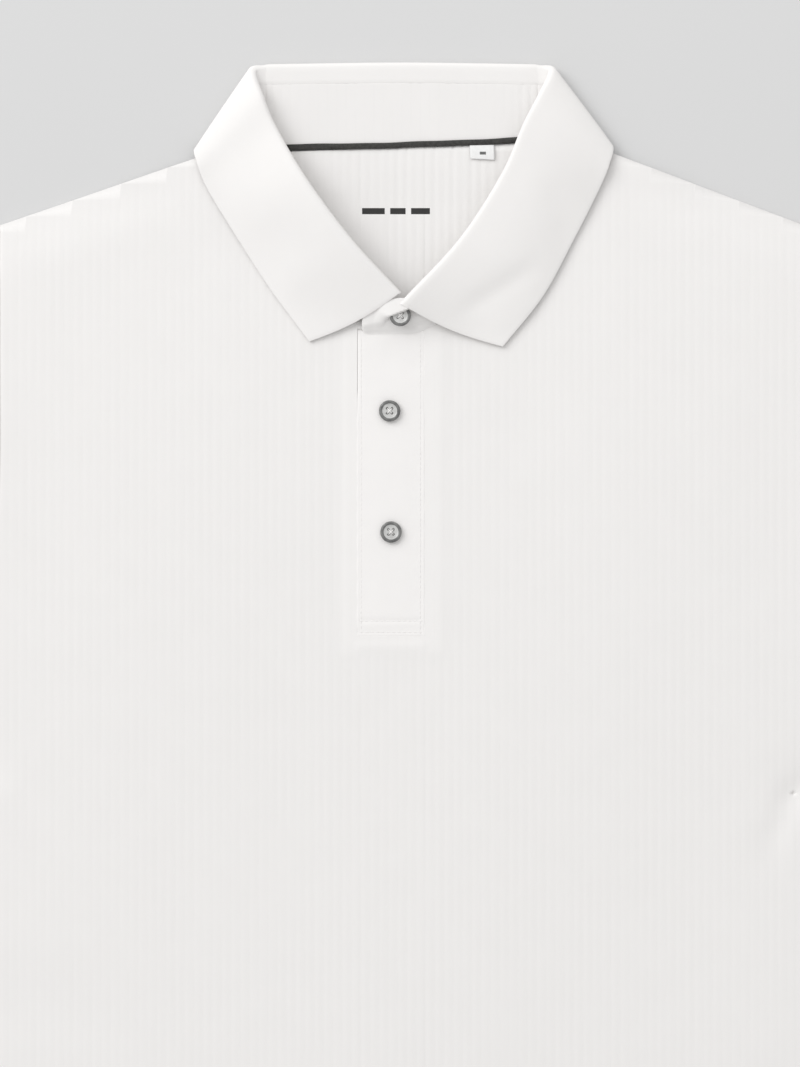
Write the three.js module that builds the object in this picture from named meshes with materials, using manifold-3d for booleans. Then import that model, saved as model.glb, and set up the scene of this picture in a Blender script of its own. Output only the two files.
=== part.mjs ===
// A men's short-sleeved polo shirt, laid flat on its back with the front facing up.
// Millimetres. X runs to the viewer's right, Y towards the collar, Z up from the table.
// Heights along Y are measured from the level of the side of the neck while the pieces are made.
// The finished group is then moved so that the rest point on the back is the origin.

import * as THREE from "three";
import { mergeVertices } from "three/addons/utils/BufferGeometryUtils.js";
import Module from "manifold-3d";

// Cloth and gaps
const CLOTH = 1.2;
const COLLAR_CLOTH = 1.2;
const SEAM_GAP = 0.3;
const RIB_PITCH = 5.1;
const RIB_HEIGHT = 0.35;
const TURN_UP = 22;
const TURN_UP_RISE = 0.5;

// Body
const HEM_Y = -720;
const REST_POINT_Y = -340;
const AIR = 2.3;
const EDGE_ROLL = 30;
const NECK_RISE = 1.6;
const NECK_RISE_START = -34;
const NECK_RISE_END = -14;
const UNDERARM = { x: 254, y: -310 };

// Half of the body's outline from the shoulder tip down to the hem, the same on both sides
const SIDE_OUTLINE = [
  { place: "shoulder tip", x: 222.5, y: -47 },
  { place: "upper armhole", x: 222, y: -110 },
  { place: "middle armhole", x: 222.6, y: -190 },
  { place: "lower armhole", x: 229, y: -255 },
  { place: "armhole turn", x: 240, y: -290 },
  { place: "underarm", x: UNDERARM.x, y: UNDERARM.y },
];
const SIDE_SEAM = [
  { place: "waist", x: 249, y: -500 },
  { place: "hem", x: 252, y: HEM_Y },
];

// The neck seam at each side, from the shoulder seam down towards the centre front
const FRONT_NECKLINE = [
  { place: "shoulder", x: 88.6, y: -1.2 },
  { place: "upper side", x: 86.4, y: -20 },
  { place: "side", x: 74.4, y: -46 },
  { place: "lower side", x: 52.6, y: -76.5 },
  { place: "front", x: 29, y: -96.8 },
];
const NECKLINE_FRONT_Y = -105;
const NECK_TILT = 0.036;
const BACK_NECK_Y = -2.4;
const BACK_NECK_HALF = 80;

// Placket
const PLACKET = { x: -6, width: 37, top: -104.5, foot: -273, thick: 1.4 };
const UNDER_STRIP = { width: 56, top: -98, foot: -283, z: 1.9, thick: 1 };
const SLIT_WIDTH = 26;
const SLIT_FOOT = -262;
const BAND_RISE = 0.4;
const RECESS = { width: 38.4, foot: -273.7, depth: 1 };

// Sleeves
const SLEEVE_ANGLE = THREE.MathUtils.degToRad(30);
const SLEEVE_LENGTH = 235;
const SLEEVE_TOP_WIDTH = 211.4;
const SLEEVE_HEM_WIDTH = 185;
const SLEEVE_UNDERARM_AT = 158;

// Buttons
const BUTTON = {
  radius: 5.9, height: 2.2, foot: 0.8, corner: 0.5, rim: 1.5, slope: 0.6, dish: 0.5, hole: 0.7, holeOut: 1.3,
};
const BUTTONS = [
  { name: "button_collar", x: -1, y: -97 },
  { name: "button_upper", x: -6.8, y: -149 },
  { name: "button_lower", x: -6, y: -215.6 },
];

// Collar, row by row round the neck from the left front to the right front.
// rim is the centre of the fold, seam is the stand's foot, edge is the leaf's outer edge.
// turn is where the leaf lies: 90 above the stand, 0 outside it, -90 below it.
const FOLD_RADIUS = 1.9;
const LIE_Z = COLLAR_CLOTH / 2;
const BACK_Z = LIE_Z + FOLD_RADIUS;
const INNER_STRIP = 8.5;
const STAND_GAP = 2.4;
const COLLAR_ROWS = [
  { rim: [-2.5, -85.5, 13.4], seam: [-29, -94.6, 7], edge: [-51, -110.8, 6.4], turn: 90, bulge: -0.4 },
  { rim: [-29.4, -56.6, 17], seam: [-50.5, -76.5, 5.2], edge: [-73.2, -80.5, 6.3], turn: 90, bulge: 0.6 },
  { rim: [-54.2, -23.3, 17], seam: [-72.6, -45.5, 5], edge: [-95.3, -46, 6.4], turn: 90, bulge: 1.2 },
  { rim: [-71, 5.6, 12], seam: [-82.6, -23, 4.8], edge: [-107.8, -25, 6.6], turn: 90, bulge: 1 },
  { rim: [-78.2, 23.4, 10.8], seam: [-85.8, -9, 4.4], edge: [-112.4, -13, 7.2], turn: 78, bulge: 0.5 },
  { rim: [-82.5, 37, 6.3], seam: [-86.8, -1, 3.5], edge: [-113.4, -4.5, 4.3], turn: 0, bulge: 0.3 },
  { rim: [-76.5, 39.5, 2.6], seam: [-80, -3.6, 2.4], edge: [-101, -2, 0.75], turn: -80, bulge: 0 },
  { rim: [-64, 39.8, BACK_Z], seam: [-64, -4, 2.3], edge: [-68, -2.5, LIE_Z], turn: -90, bulge: 0 },
  { rim: [0, 40.6, BACK_Z], seam: [0, -1.7, 2.3], edge: [0, -1.5, LIE_Z], turn: -90, bulge: 0 },
  { rim: [64, 39.8, BACK_Z], seam: [64, 0.6, 2.3], edge: [69, 0.5, LIE_Z], turn: -90, bulge: 0 },
  { rim: [76.5, 39.5, 2.6], seam: [80, 1.4, 2.4], edge: [101, 1, 0.75], turn: -80, bulge: 0 },
  { rim: [82.7, 37, 6.4], seam: [86.8, 3.2, 3.5], edge: [115.2, -2.5, 4.5], turn: 0, bulge: 0.3 },
  { rim: [76.6, 23, 10.8], seam: [86, -6, 4.4], edge: [113.8, -13.5, 8.4], turn: 78, bulge: 0.8 },
  { rim: [68.2, 6.4, 12.5], seam: [82.8, -22, 4.8], edge: [108.3, -27, 8], turn: 90, bulge: 1.6 },
  { rim: [56.1, -21.2, 13.8], seam: [72.6, -45.5, 5], edge: [93.7, -56, 7.8], turn: 90, bulge: 1.6 },
  { rim: [33.1, -56.6, 14], seam: [50.5, -76.5, 5.4], edge: [77.3, -86, 7.6], turn: 90, bulge: 0.4 },
  { rim: [0.6, -91, 13.6], seam: [29, -95, 7.6], edge: [55.4, -113.6, 7.2], turn: 90, bulge: -0.2 },
];

// The stand's front ends run on past the leaf, the right one over the left one
const STAND_END_LEFT = [
  { top: [-2, -92, 7.3], seam: [-13, -103.5, 7.1] },
  { top: [4, -96, 7.2], seam: [0, -104.5, 7.1] },
];
const STAND_END_RIGHT = [
  { top: [3, -92.5, 9.3], seam: [14, -102.5, 8.9] },
  { top: [-8, -91.5, 9.1], seam: [-2, -106.5, 8.8] },
  { top: [-17, -94, 9], seam: [-16, -108, 8.8] },
  { top: [-21.5, -98.5, 8.8], seam: [-21, -105, 8.8] },
];
const STAND_TOP_Z = 9.9;

// Neck tape and label
const TAPE = { half: 76, width: 3.2, thick: 1 };
const LABEL = { x: 44, width: 14, length: 8.5, thick: 1, tilt: -0.05 };

const WHITE_KNIT = { color: 0xf3f2ee, roughness: 0.9, metalness: 0 };
const WHITE_SMOOTH = { color: 0xf6f5f2, roughness: 0.85, metalness: 0 };
const BLACK_TAPE = { color: 0x2b2a28, roughness: 0.85, metalness: 0 };
const BUTTON_GREY = { color: 0xb9b9b7, roughness: 0.4, metalness: 0 };

const wasm = await Module();
wasm.setup();

const group = new THREE.Group();

function addPiece(name, geometry, look) {
  const mesh = new THREE.Mesh(geometry, new THREE.MeshStandardMaterial(look));
  mesh.name = name;
  group.add(mesh);
}

// Small helpers

function ease(value, start, end) {
  return THREE.MathUtils.smoothstep(value, Math.min(start, end), Math.max(start, end));
}

function geometryFrom(points, triangles) {
  const geometry = new THREE.BufferGeometry();
  const flat = points.flatMap((p) => [p.x, p.y, p.z]);
  geometry.setAttribute("position", new THREE.Float32BufferAttribute(flat, 3));
  geometry.setIndex(triangles.flat());
  return outwardFacing(geometry);
}

// Turns all faces round where they point into the solid
function outwardFacing(geometry) {
  const at = geometry.getAttribute("position");
  const index = geometry.getIndex().array;
  const [a, b, c] = [new THREE.Vector3(), new THREE.Vector3(), new THREE.Vector3()];
  let volume = 0;
  for (let i = 0; i < index.length; i += 3) {
    a.fromBufferAttribute(at, index[i]);
    b.fromBufferAttribute(at, index[i + 1]);
    c.fromBufferAttribute(at, index[i + 2]);
    volume += a.dot(b.cross(c));
  }
  if (volume < 0) {
    for (let i = 0; i < index.length; i += 3) {
      [index[i + 1], index[i + 2]] = [index[i + 2], index[i + 1]];
    }
  }
  return geometry;
}

function solidOf(geometry) {
  const bare = geometry.clone();
  bare.deleteAttribute("normal");
  bare.deleteAttribute("uv");
  const merged = mergeVertices(bare, 1e-4);
  return new wasm.Manifold(new wasm.Mesh({
    numProp: 3,
    vertProperties: merged.getAttribute("position").array,
    triVerts: new Uint32Array(merged.getIndex().array),
  }));
}

function geometryOf(solid) {
  const mesh = solid.getMesh();
  const geometry = new THREE.BufferGeometry();
  geometry.setAttribute("position", new THREE.BufferAttribute(mesh.vertProperties, 3));
  geometry.setIndex(new THREE.BufferAttribute(mesh.triVerts, 1));
  return geometry;
}

// A closed loft: rings of equal length, each a closed loop, with a flat fan over both ends
function loft(rings) {
  const points = rings.flat();
  const around = rings[0].length;
  const triangles = [];
  for (let r = 0; r + 1 < rings.length; r++) {
    for (let k = 0; k < around; k++) {
      const a = r * around + k;
      const b = r * around + ((k + 1) % around);
      triangles.push([a, b, b + around], [a, b + around, a + around]);
    }
  }
  for (const [r, turned] of [[0, true], [rings.length - 1, false]]) {
    const middle = points.length;
    const sum = new THREE.Vector3();
    rings[r].forEach((p) => sum.add(p));
    points.push(sum.divideScalar(around));
    for (let k = 0; k < around; k++) {
      const a = r * around + k;
      const b = r * around + ((k + 1) % around);
      triangles.push(turned ? [middle, b, a] : [middle, a, b]);
    }
  }
  return geometryFrom(points, triangles);
}

// A cloth wall of even thickness about a grid of middle points
function wall(grid, thickness) {
  const rows = grid.length;
  const columns = grid[0].length;
  const points = [];
  for (const sign of [1, -1]) {
    for (let i = 0; i < rows; i++) {
      for (let j = 0; j < columns; j++) {
        const alongRow = grid[Math.min(i + 1, rows - 1)][j].clone().sub(grid[Math.max(i - 1, 0)][j]);
        const across = grid[i][Math.min(j + 1, columns - 1)].clone().sub(grid[i][Math.max(j - 1, 0)]);
        const normal = alongRow.cross(across).normalize();
        points.push(grid[i][j].clone().addScaledVector(normal, sign * thickness / 2));
      }
    }
  }
  const under = rows * columns;
  const at = (i, j) => i * columns + j;
  const triangles = [];
  const quad = (a, b, c, d) => triangles.push([a, b, c], [a, c, d]);
  for (let i = 0; i + 1 < rows; i++) {
    for (let j = 0; j + 1 < columns; j++) {
      quad(at(i, j), at(i + 1, j), at(i + 1, j + 1), at(i, j + 1));
      quad(under + at(i, j), under + at(i, j + 1), under + at(i + 1, j + 1), under + at(i + 1, j));
    }
  }
  for (let i = 0; i + 1 < rows; i++) {
    quad(at(i, 0), under + at(i, 0), under + at(i + 1, 0), at(i + 1, 0));
    const [a, b] = [at(i, columns - 1), at(i + 1, columns - 1)];
    quad(a, b, under + b, under + a);
  }
  for (let j = 0; j + 1 < columns; j++) {
    quad(at(0, j), at(0, j + 1), under + at(0, j + 1), under + at(0, j));
    const [a, b] = [at(rows - 1, j), at(rows - 1, j + 1)];
    quad(a, under + a, under + b, b);
  }
  return geometryFrom(points, triangles);
}

// Everything below a height field, down to a flat floor under the table
function below(xs, ys, heightAt, floor) {
  const points = [];
  const columns = xs.length;
  for (const y of ys) for (const x of xs) points.push(new THREE.Vector3(x, y, heightAt(x, y)));
  for (const y of ys) for (const x of xs) points.push(new THREE.Vector3(x, y, floor));
  const under = xs.length * ys.length;
  const triangles = [];
  const quad = (a, b, c, d) => triangles.push([a, b, c], [a, c, d]);
  for (let j = 0; j + 1 < ys.length; j++) {
    for (let i = 0; i + 1 < columns; i++) {
      const a = j * columns + i;
      quad(a, a + 1, a + 1 + columns, a + columns);
      quad(under + a, under + a + columns, under + a + 1 + columns, under + a + 1);
    }
  }
  for (let j = 0; j + 1 < ys.length; j++) {
    const a = j * columns;
    const b = a + columns - 1;
    quad(a, a + columns, under + a + columns, under + a);
    quad(b, under + b, under + b + columns, b + columns);
  }
  const last = (ys.length - 1) * columns;
  for (let i = 0; i + 1 < columns; i++) {
    quad(i, under + i, under + i + 1, i + 1);
    quad(last + i, last + i + 1, under + last + i + 1, under + last + i);
  }
  return solidOf(geometryFrom(points, triangles));
}

// An upright prism over an outline seen from above
function prism(outline, bottom, top) {
  const shape = new THREE.Shape(outline.map((p) => new THREE.Vector2(p.x, p.y)));
  const geometry = new THREE.ExtrudeGeometry(shape, { depth: top - bottom, bevelEnabled: false });
  geometry.translate(0, 0, bottom);
  return solidOf(geometry);
}

function box(x0, x1, y0, y1, z0, z1) {
  return prism([{ x: x0, y: y0 }, { x: x1, y: y0 }, { x: x1, y: y1 }, { x: x0, y: y1 }], z0, z1);
}

function curveThrough(rows, pieces) {
  const curve = new THREE.SplineCurve(rows.map((p) => new THREE.Vector2(p.x, p.y)));
  return curve.getPoints(pieces);
}

function evenly(start, end, count) {
  return Array.from({ length: count + 1 }, (_, i) => start + (end - start) * i / count);
}

// Body outline

const armhole = curveThrough(SIDE_OUTLINE, 14);
const rightSide = [...armhole, ...SIDE_SEAM];
const leftSide = rightSide.map((p) => ({ x: -p.x, y: p.y }));

function shoulderY(x) {
  const [neck, tip] = [FRONT_NECKLINE[0], SIDE_OUTLINE[0]];
  const neckY = neck.y + (x > 0 ? 4.4 : 0);
  const along = (Math.abs(x) - neck.x) / (tip.x - neck.x);
  return neckY + (tip.y - neckY) * along;
}

function sideX(y) {
  const [waist, hem] = SIDE_SEAM;
  const [upper, lower] = y > waist.y ? [UNDERARM, waist] : [waist, hem];
  return upper.x + (lower.x - upper.x) * (upper.y - y) / (upper.y - lower.y);
}

// How far a place lies inside the folded edges of the body: side seams and shoulders
function insideEdge(x, y) {
  const fromSide = y < UNDERARM.y
    ? sideX(y) - Math.abs(x)
    : Math.hypot(UNDERARM.x - Math.abs(x), UNDERARM.y - y);
  return Math.max(0, Math.min(fromSide, shoulderY(x) - y));
}

function backUnder(x, y) {
  return NECK_RISE * ease(y, NECK_RISE_START, NECK_RISE_END);
}

function backTop(x, y) {
  return backUnder(x, y) + CLOTH;
}

// Drag creases that run from each underarm down into the front
const DRAG_CREASES = [
  { x0: 246, y0: -322, x1: 214, y1: -360, width: 13, depth: 1.5 },
  { x0: -246, y0: -322, x1: -218, y1: -352, width: 12, depth: 1.1 },
];

function dragCreases(x, y) {
  let depth = 0;
  for (const c of DRAG_CREASES) {
    const [dx, dy] = [c.x1 - c.x0, c.y1 - c.y0];
    const t = THREE.MathUtils.clamp(((x - c.x0) * dx + (y - c.y0) * dy) / (dx * dx + dy * dy), 0, 1);
    const away = Math.hypot(x - c.x0 - t * dx, y - c.y0 - t * dy);
    depth += c.depth * Math.exp(-((away / c.width) ** 2));
  }
  return depth;
}

function within(x, y, strip) {
  return Math.abs(x - PLACKET.x) <= strip.width / 2 && y >= strip.foot;
}

// The front rises over the under strip and is pressed down under the placket
function besidePlacket(x, y) {
  const rise = within(x, y, UNDER_STRIP) ? BAND_RISE : 0;
  return within(x, y, RECESS) ? rise - RECESS.depth : rise;
}

function frontUnder(x, y) {
  const air = AIR * ease(insideEdge(x, y), 0, EDGE_ROLL);
  return backTop(x, y) + SEAM_GAP + Math.max(0, air - dragCreases(x, y)) + besidePlacket(x, y);
}

function frontTop(x, y) {
  const turnUp = y < HEM_Y + TURN_UP ? TURN_UP_RISE : 0;
  const onRib = Math.round(x / (RIB_PITCH / 2)) % 2 === 0 && !within(x, y, UNDER_STRIP);
  return frontUnder(x, y) + CLOTH + turnUp + (onRib ? RIB_HEIGHT : 0);
}

// Front and back body

function bodyOutline(neckline) {
  return [...leftSide.slice().reverse(), ...neckline, ...rightSide];
}

function frontNeckline() {
  const left = curveThrough(FRONT_NECKLINE.map((p) => ({ x: -p.x, y: p.y })), 12);
  const right = curveThrough(FRONT_NECKLINE, 12).reverse();
  right[right.length - 1].y = shoulderY(FRONT_NECKLINE[0].x);
  return [...left, { x: -12, y: NECKLINE_FRONT_Y }, { x: 12, y: NECKLINE_FRONT_Y }, ...right];
}

function backNeckline() {
  const corner = FRONT_NECKLINE[0].x;
  const low = (x) => BACK_NECK_Y - 1 + NECK_TILT * x;
  return [
    { x: -corner, y: shoulderY(-corner) },
    { x: -BACK_NECK_HALF, y: low(-BACK_NECK_HALF) - 0.6 },
    { x: BACK_NECK_HALF, y: low(BACK_NECK_HALF) - 1.6 },
    { x: corner, y: shoulderY(corner) },
  ];
}

const ribEdge = RIB_PITCH / 2 * 101;
const STEP = 0.3;
const hemFold = HEM_Y + TURN_UP;
const ROWS = [
  -730, hemFold - STEP, hemFold + STEP, -560, -400, -360, -325, UNDER_STRIP.foot - STEP, UNDER_STRIP.foot,
  RECESS.foot - STEP, RECESS.foot, -160, -70, -20, 14,
];

// Even columns, and one on each side of every step in height beside the placket
function columnsWithSteps(count) {
  const steps = [UNDER_STRIP, RECESS].flatMap(({ width }) => [
    PLACKET.x - width / 2 - STEP, PLACKET.x - width / 2, PLACKET.x + width / 2, PLACKET.x + width / 2 + STEP,
  ]);
  return [...evenly(-ribEdge, ribEdge, count), ...steps].sort((a, b) => a - b);
}

const ribColumns = columnsWithSteps(202);
const smoothColumns = columnsWithSteps(26);
const FLOOR = -6;

function makeFront() {
  const upper = below(ribColumns, ROWS, frontTop, FLOOR);
  const lower = below(smoothColumns, ROWS, (x, y) => frontUnder(x, y), FLOOR - 4);
  const slit = box(
    PLACKET.x - SLIT_WIDTH / 2, PLACKET.x + SLIT_WIDTH / 2, SLIT_FOOT, 0, FLOOR, 30,
  );
  const cut = prism(bodyOutline(frontNeckline()), FLOOR, 30);
  return geometryOf(upper.subtract(lower).intersect(cut).subtract(slit));
}

function makeBack() {
  const rows = [-730, NECK_RISE_START, -27, -21, NECK_RISE_END, 14];
  const columns = [-ribEdge, ribEdge];
  const upper = below(columns, rows, backTop, FLOOR);
  const lower = below(columns, rows, backUnder, FLOOR - 4);
  const cut = prism(bodyOutline(backNeckline()), -1, 30);
  return geometryOf(upper.subtract(lower).intersect(cut));
}

addPiece("front_body", makeFront(), WHITE_KNIT);
addPiece("back_body", makeBack(), WHITE_KNIT);

// Sleeves: flat tubes, ribbed along their length on the upper side

function sleeveWidth(along) {
  const taper = THREE.MathUtils.clamp(
    (along - SLEEVE_UNDERARM_AT) / (SLEEVE_LENGTH - SLEEVE_UNDERARM_AT), 0, 1,
  );
  return SLEEVE_TOP_WIDTH + (SLEEVE_HEM_WIDTH - SLEEVE_TOP_WIDTH) * taper;
}

function sleevePoint(side, along, across, z) {
  const tip = SIDE_OUTLINE[0];
  const x = tip.x + along * Math.cos(SLEEVE_ANGLE) - across * Math.sin(SLEEVE_ANGLE);
  const y = tip.y - along * Math.sin(SLEEVE_ANGLE) - across * Math.cos(SLEEVE_ANGLE);
  return new THREE.Vector3(side * x, y, z);
}

function sleeveRing(side, along, inset, ribs) {
  const width = sleeveWidth(along);
  const thickEdge = 2 * CLOTH + SEAM_GAP;
  const steps = ribs ? 2 * Math.round(SLEEVE_TOP_WIDTH / RIB_PITCH) : 16;
  const turnUp = !inset && along > SLEEVE_LENGTH - TURN_UP ? TURN_UP_RISE : 0;
  const ring = [sleevePoint(side, along, inset, CLOTH)];
  ring.push(sleevePoint(side, along, inset ? inset + 0.3 : 0.6, inset));
  ring.push(sleevePoint(side, along, width - (inset ? inset + 0.3 : 0.6), inset));
  ring.push(sleevePoint(side, along, width - inset, CLOTH));
  for (let k = 1; k < steps; k++) {
    const across = width * (1 - k / steps);
    const nearEdge = Math.min(across, width - across);
    const rib = ribs && k % 2 === 0 ? RIB_HEIGHT : 0;
    const top = thickEdge + AIR * ease(nearEdge, 0, EDGE_ROLL) - inset + rib + turnUp;
    const height = inset ? Math.max(top, CLOTH + 0.05) : top;
    const place = THREE.MathUtils.clamp(across, inset + 0.4, width - inset - 0.4);
    ring.push(sleevePoint(side, along, place, height));
  }
  return ring;
}

function makeSleeve(side) {
  const fold = SLEEVE_LENGTH - TURN_UP;
  const stations = [-60, SLEEVE_UNDERARM_AT, fold - 0.4, fold + 0.4, SLEEVE_LENGTH];
  const outer = loft(stations.map((s) => sleeveRing(side, s, 0, true)));
  const hollowStations = [-70, SLEEVE_UNDERARM_AT, SLEEVE_LENGTH + 10];
  const hollow = loft(hollowStations.map((s) => sleeveRing(side, s, CLOTH, false)));
  const body = armhole.map((p) => ({ x: side * (p.x + SEAM_GAP), y: p.y + SEAM_GAP }));
  const outline = [{ x: 0, y: body[0].y + 60 }, { x: body[0].x, y: body[0].y + 60 }, ...body];
  outline.push({ x: side * (UNDERARM.x + SEAM_GAP), y: UNDERARM.y - 100 }, { x: 0, y: UNDERARM.y - 100 });
  return geometryOf(solidOf(outer).subtract(solidOf(hollow)).subtract(prism(outline, FLOOR, 30)));
}

addPiece("sleeve_left", makeSleeve(-1), WHITE_KNIT);
addPiece("sleeve_right", makeSleeve(1), WHITE_KNIT);

// Collar

function rowCurve(rows, column) {
  const points = rows.map((row) => new THREE.Vector3(...row[column]));
  return new THREE.CatmullRomCurve3(points, false, "centripetal");
}

const collarSteps = (COLLAR_ROWS.length - 1) * 3;
const rimCurve = rowCurve(COLLAR_ROWS, "rim");
const seamCurve = rowCurve(COLLAR_ROWS, "seam");
const edgeCurve = rowCurve(COLLAR_ROWS, "edge");

function between(column, t) {
  const at = t * (COLLAR_ROWS.length - 1);
  const row = Math.min(Math.floor(at), COLLAR_ROWS.length - 2);
  return THREE.MathUtils.lerp(COLLAR_ROWS[row][column], COLLAR_ROWS[row + 1][column], at - row);
}

// The local frame of one section: down the leaf, and across from the stand to the leaf
function collarFrame(t) {
  const rim = rimCurve.getPoint(t);
  const edge = edgeCurve.getPoint(t);
  const seam = seamCurve.getPoint(t);
  const down = new THREE.Vector3(edge.x - rim.x, edge.y - rim.y, 0).normalize();
  const side = t < 0.5 ? -1 : 1;
  const outward = new THREE.Vector3(-down.y * side, down.x * side, 0);
  const turn = THREE.MathUtils.degToRad(between("turn", t));
  const toLeaf = outward.multiplyScalar(Math.cos(turn)).add(new THREE.Vector3(0, 0, Math.sin(turn)));
  const standStart = rim.clone().addScaledVector(toLeaf, -FOLD_RADIUS);
  const toSeam = seam.clone().sub(standStart).normalize();
  return { rim, edge, seam, down, toLeaf, standStart, toSeam, bulge: between("bulge", t) };
}

function leafSection(t) {
  const f = collarFrame(t);
  const section = [
    f.standStart.clone().addScaledVector(f.toSeam, INNER_STRIP),
    f.standStart.clone().addScaledVector(f.toSeam, INNER_STRIP / 3),
  ];
  for (const degrees of [-90, -50, 0, 50, 90]) {
    const angle = THREE.MathUtils.degToRad(degrees);
    section.push(f.rim.clone()
      .addScaledVector(f.toLeaf, FOLD_RADIUS * Math.sin(angle))
      .addScaledVector(f.down, -FOLD_RADIUS * Math.cos(angle)));
  }
  const start = section[section.length - 1];
  for (const along of [0.2, 0.42, 0.65, 0.85, 1]) {
    const lift = f.bulge * Math.sin(Math.PI * along);
    section.push(start.clone().lerp(f.edge, along).addScaledVector(f.toLeaf, lift));
  }
  return section;
}

function standSection(t) {
  const f = collarFrame(t);
  const top = f.standStart.clone().addScaledVector(f.toSeam, INNER_STRIP + STAND_GAP);
  return { top, seam: f.seam };
}

// The leaf lies on the table behind the neck, so nothing of it reaches below that
function makeLeaf() {
  const geometry = wall(evenly(0, 1, collarSteps).map(leafSection), COLLAR_CLOTH);
  const at = geometry.getAttribute("position");
  for (let i = 0; i < at.count; i++) at.setZ(i, Math.max(0, at.getZ(i)));
  return geometry;
}

function makeStand() {
  const vectors = (row) => ({ top: new THREE.Vector3(...row.top), seam: new THREE.Vector3(...row.seam) });
  const sections = [
    ...STAND_END_LEFT.slice().reverse().map(vectors),
    ...evenly(0, 1, collarSteps).map(standSection),
    ...STAND_END_RIGHT.map(vectors),
  ];
  const across = [0, 0.33, 0.67, 1];
  return wall(sections.map((s) => across.map((k) => s.top.clone().lerp(s.seam, k))), COLLAR_CLOTH);
}

addPiece("collar_leaf", makeLeaf(), WHITE_SMOOTH);
addPiece("collar_stand", makeStand(), WHITE_KNIT);

// Placket

function placketUnderside() {
  return frontUnder(PLACKET.x, PLACKET.foot) + CLOTH + SEAM_GAP;
}

function strip(middleX, width, foot, top, z, thick) {
  const solid = box(middleX - width / 2, middleX + width / 2, foot, top, z, z + thick);
  return geometryOf(solid);
}

addPiece(
  "placket_top",
  strip(PLACKET.x, PLACKET.width, PLACKET.foot, PLACKET.top, placketUnderside(), PLACKET.thick),
  WHITE_SMOOTH,
);
addPiece(
  "placket_under",
  strip(PLACKET.x, UNDER_STRIP.width, UNDER_STRIP.foot, UNDER_STRIP.top, UNDER_STRIP.z, UNDER_STRIP.thick),
  WHITE_SMOOTH,
);

// Neck tape and label

function neckSeamY(x) {
  return BACK_NECK_Y + NECK_TILT * x;
}

function makeTape() {
  const z = NECK_RISE + CLOTH + SEAM_GAP + 0.15 + TAPE.thick / 2;
  const grid = evenly(-TAPE.half, TAPE.half, 12).map((x) => [-0.5, 0.5].map(
    (k) => new THREE.Vector3(x, neckSeamY(x) + k * TAPE.width, z),
  ));
  return wall(grid, TAPE.thick);
}

function makeLabel() {
  const top = neckSeamY(LABEL.x) - TAPE.width / 2 - SEAM_GAP;
  const geometry = new THREE.BoxGeometry(LABEL.width, LABEL.length, LABEL.thick);
  geometry.rotateZ(LABEL.tilt);
  const z = NECK_RISE + CLOTH + SEAM_GAP + LABEL.thick / 2;
  geometry.translate(LABEL.x, top - LABEL.length / 2 - 0.5, z);
  return geometry;
}

addPiece("neck_tape", makeTape(), BLACK_TAPE);
addPiece("size_label", makeLabel(), WHITE_SMOOTH);

// Buttons

function makeButton(x, y, z) {
  const r = BUTTON.radius;
  const profile = [
    [0, 0], [r - BUTTON.foot, 0], [r, BUTTON.foot],
    [r, BUTTON.height - BUTTON.corner], [r - BUTTON.corner, BUTTON.height],
    [r - BUTTON.rim, BUTTON.height], [r - BUTTON.rim - BUTTON.slope, BUTTON.height - BUTTON.dish],
    [0, BUTTON.height - BUTTON.dish],
  ].map(([radius, height]) => new THREE.Vector2(radius, height));
  const body = new THREE.LatheGeometry(profile, 24);
  body.rotateX(Math.PI / 2);
  let solid = solidOf(body);
  for (const [sx, sy] of [[1, 1], [1, -1], [-1, 1], [-1, -1]]) {
    const hole = new THREE.CylinderGeometry(BUTTON.hole, BUTTON.hole, 3 * BUTTON.height, 8);
    hole.rotateX(Math.PI / 2);
    hole.translate(sx * BUTTON.holeOut, sy * BUTTON.holeOut, 0);
    solid = solid.subtract(solidOf(hole));
  }
  const geometry = geometryOf(solid);
  geometry.translate(x, y, z);
  return geometry;
}

for (const { name, x, y } of BUTTONS) {
  const carrierTop = name === "button_collar" ? STAND_TOP_Z : placketUnderside() + PLACKET.thick;
  addPiece(name, makeButton(x, y, carrierTop + SEAM_GAP), BUTTON_GREY);
}

group.position.y = -REST_POINT_Y;

export default group;
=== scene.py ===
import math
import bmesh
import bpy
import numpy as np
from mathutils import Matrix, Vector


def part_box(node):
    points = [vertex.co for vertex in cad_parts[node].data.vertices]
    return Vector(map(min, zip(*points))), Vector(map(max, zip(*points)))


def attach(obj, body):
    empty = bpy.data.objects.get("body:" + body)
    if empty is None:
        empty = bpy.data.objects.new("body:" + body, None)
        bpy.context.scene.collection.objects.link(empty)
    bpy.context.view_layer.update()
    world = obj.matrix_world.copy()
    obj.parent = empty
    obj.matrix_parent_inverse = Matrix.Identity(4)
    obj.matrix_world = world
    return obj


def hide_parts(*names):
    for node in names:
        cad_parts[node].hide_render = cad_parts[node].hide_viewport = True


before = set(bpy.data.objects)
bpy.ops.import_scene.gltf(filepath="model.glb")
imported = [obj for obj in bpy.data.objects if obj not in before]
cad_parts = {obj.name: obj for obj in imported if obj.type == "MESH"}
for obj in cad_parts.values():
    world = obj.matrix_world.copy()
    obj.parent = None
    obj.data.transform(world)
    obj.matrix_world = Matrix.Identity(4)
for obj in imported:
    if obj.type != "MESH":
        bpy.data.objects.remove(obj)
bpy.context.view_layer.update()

# %% [markdown]
# A white polo shirt, laid flat, as a lesson in cloth made from formulas.
# The frame holds the shirt's solids: front, back, sleeves, collar, placket, tape, label and buttons.
# Each one gets a finer shell here, on the same form, with the cloth's ribs, seams and soft hollows.
# Sizes are in millimetres, because a cutter thinks in them, and one helper turns them into metres.
# X runs to the right, Y towards the collar and Z up. Y is counted from the side of the neck.

MM = 0.001
REST_POINT_Y = -340.0
scene = bpy.context.scene
shirt = bpy.data.collections.new("polo_shirt")
scene.collection.children.link(shirt)


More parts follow.
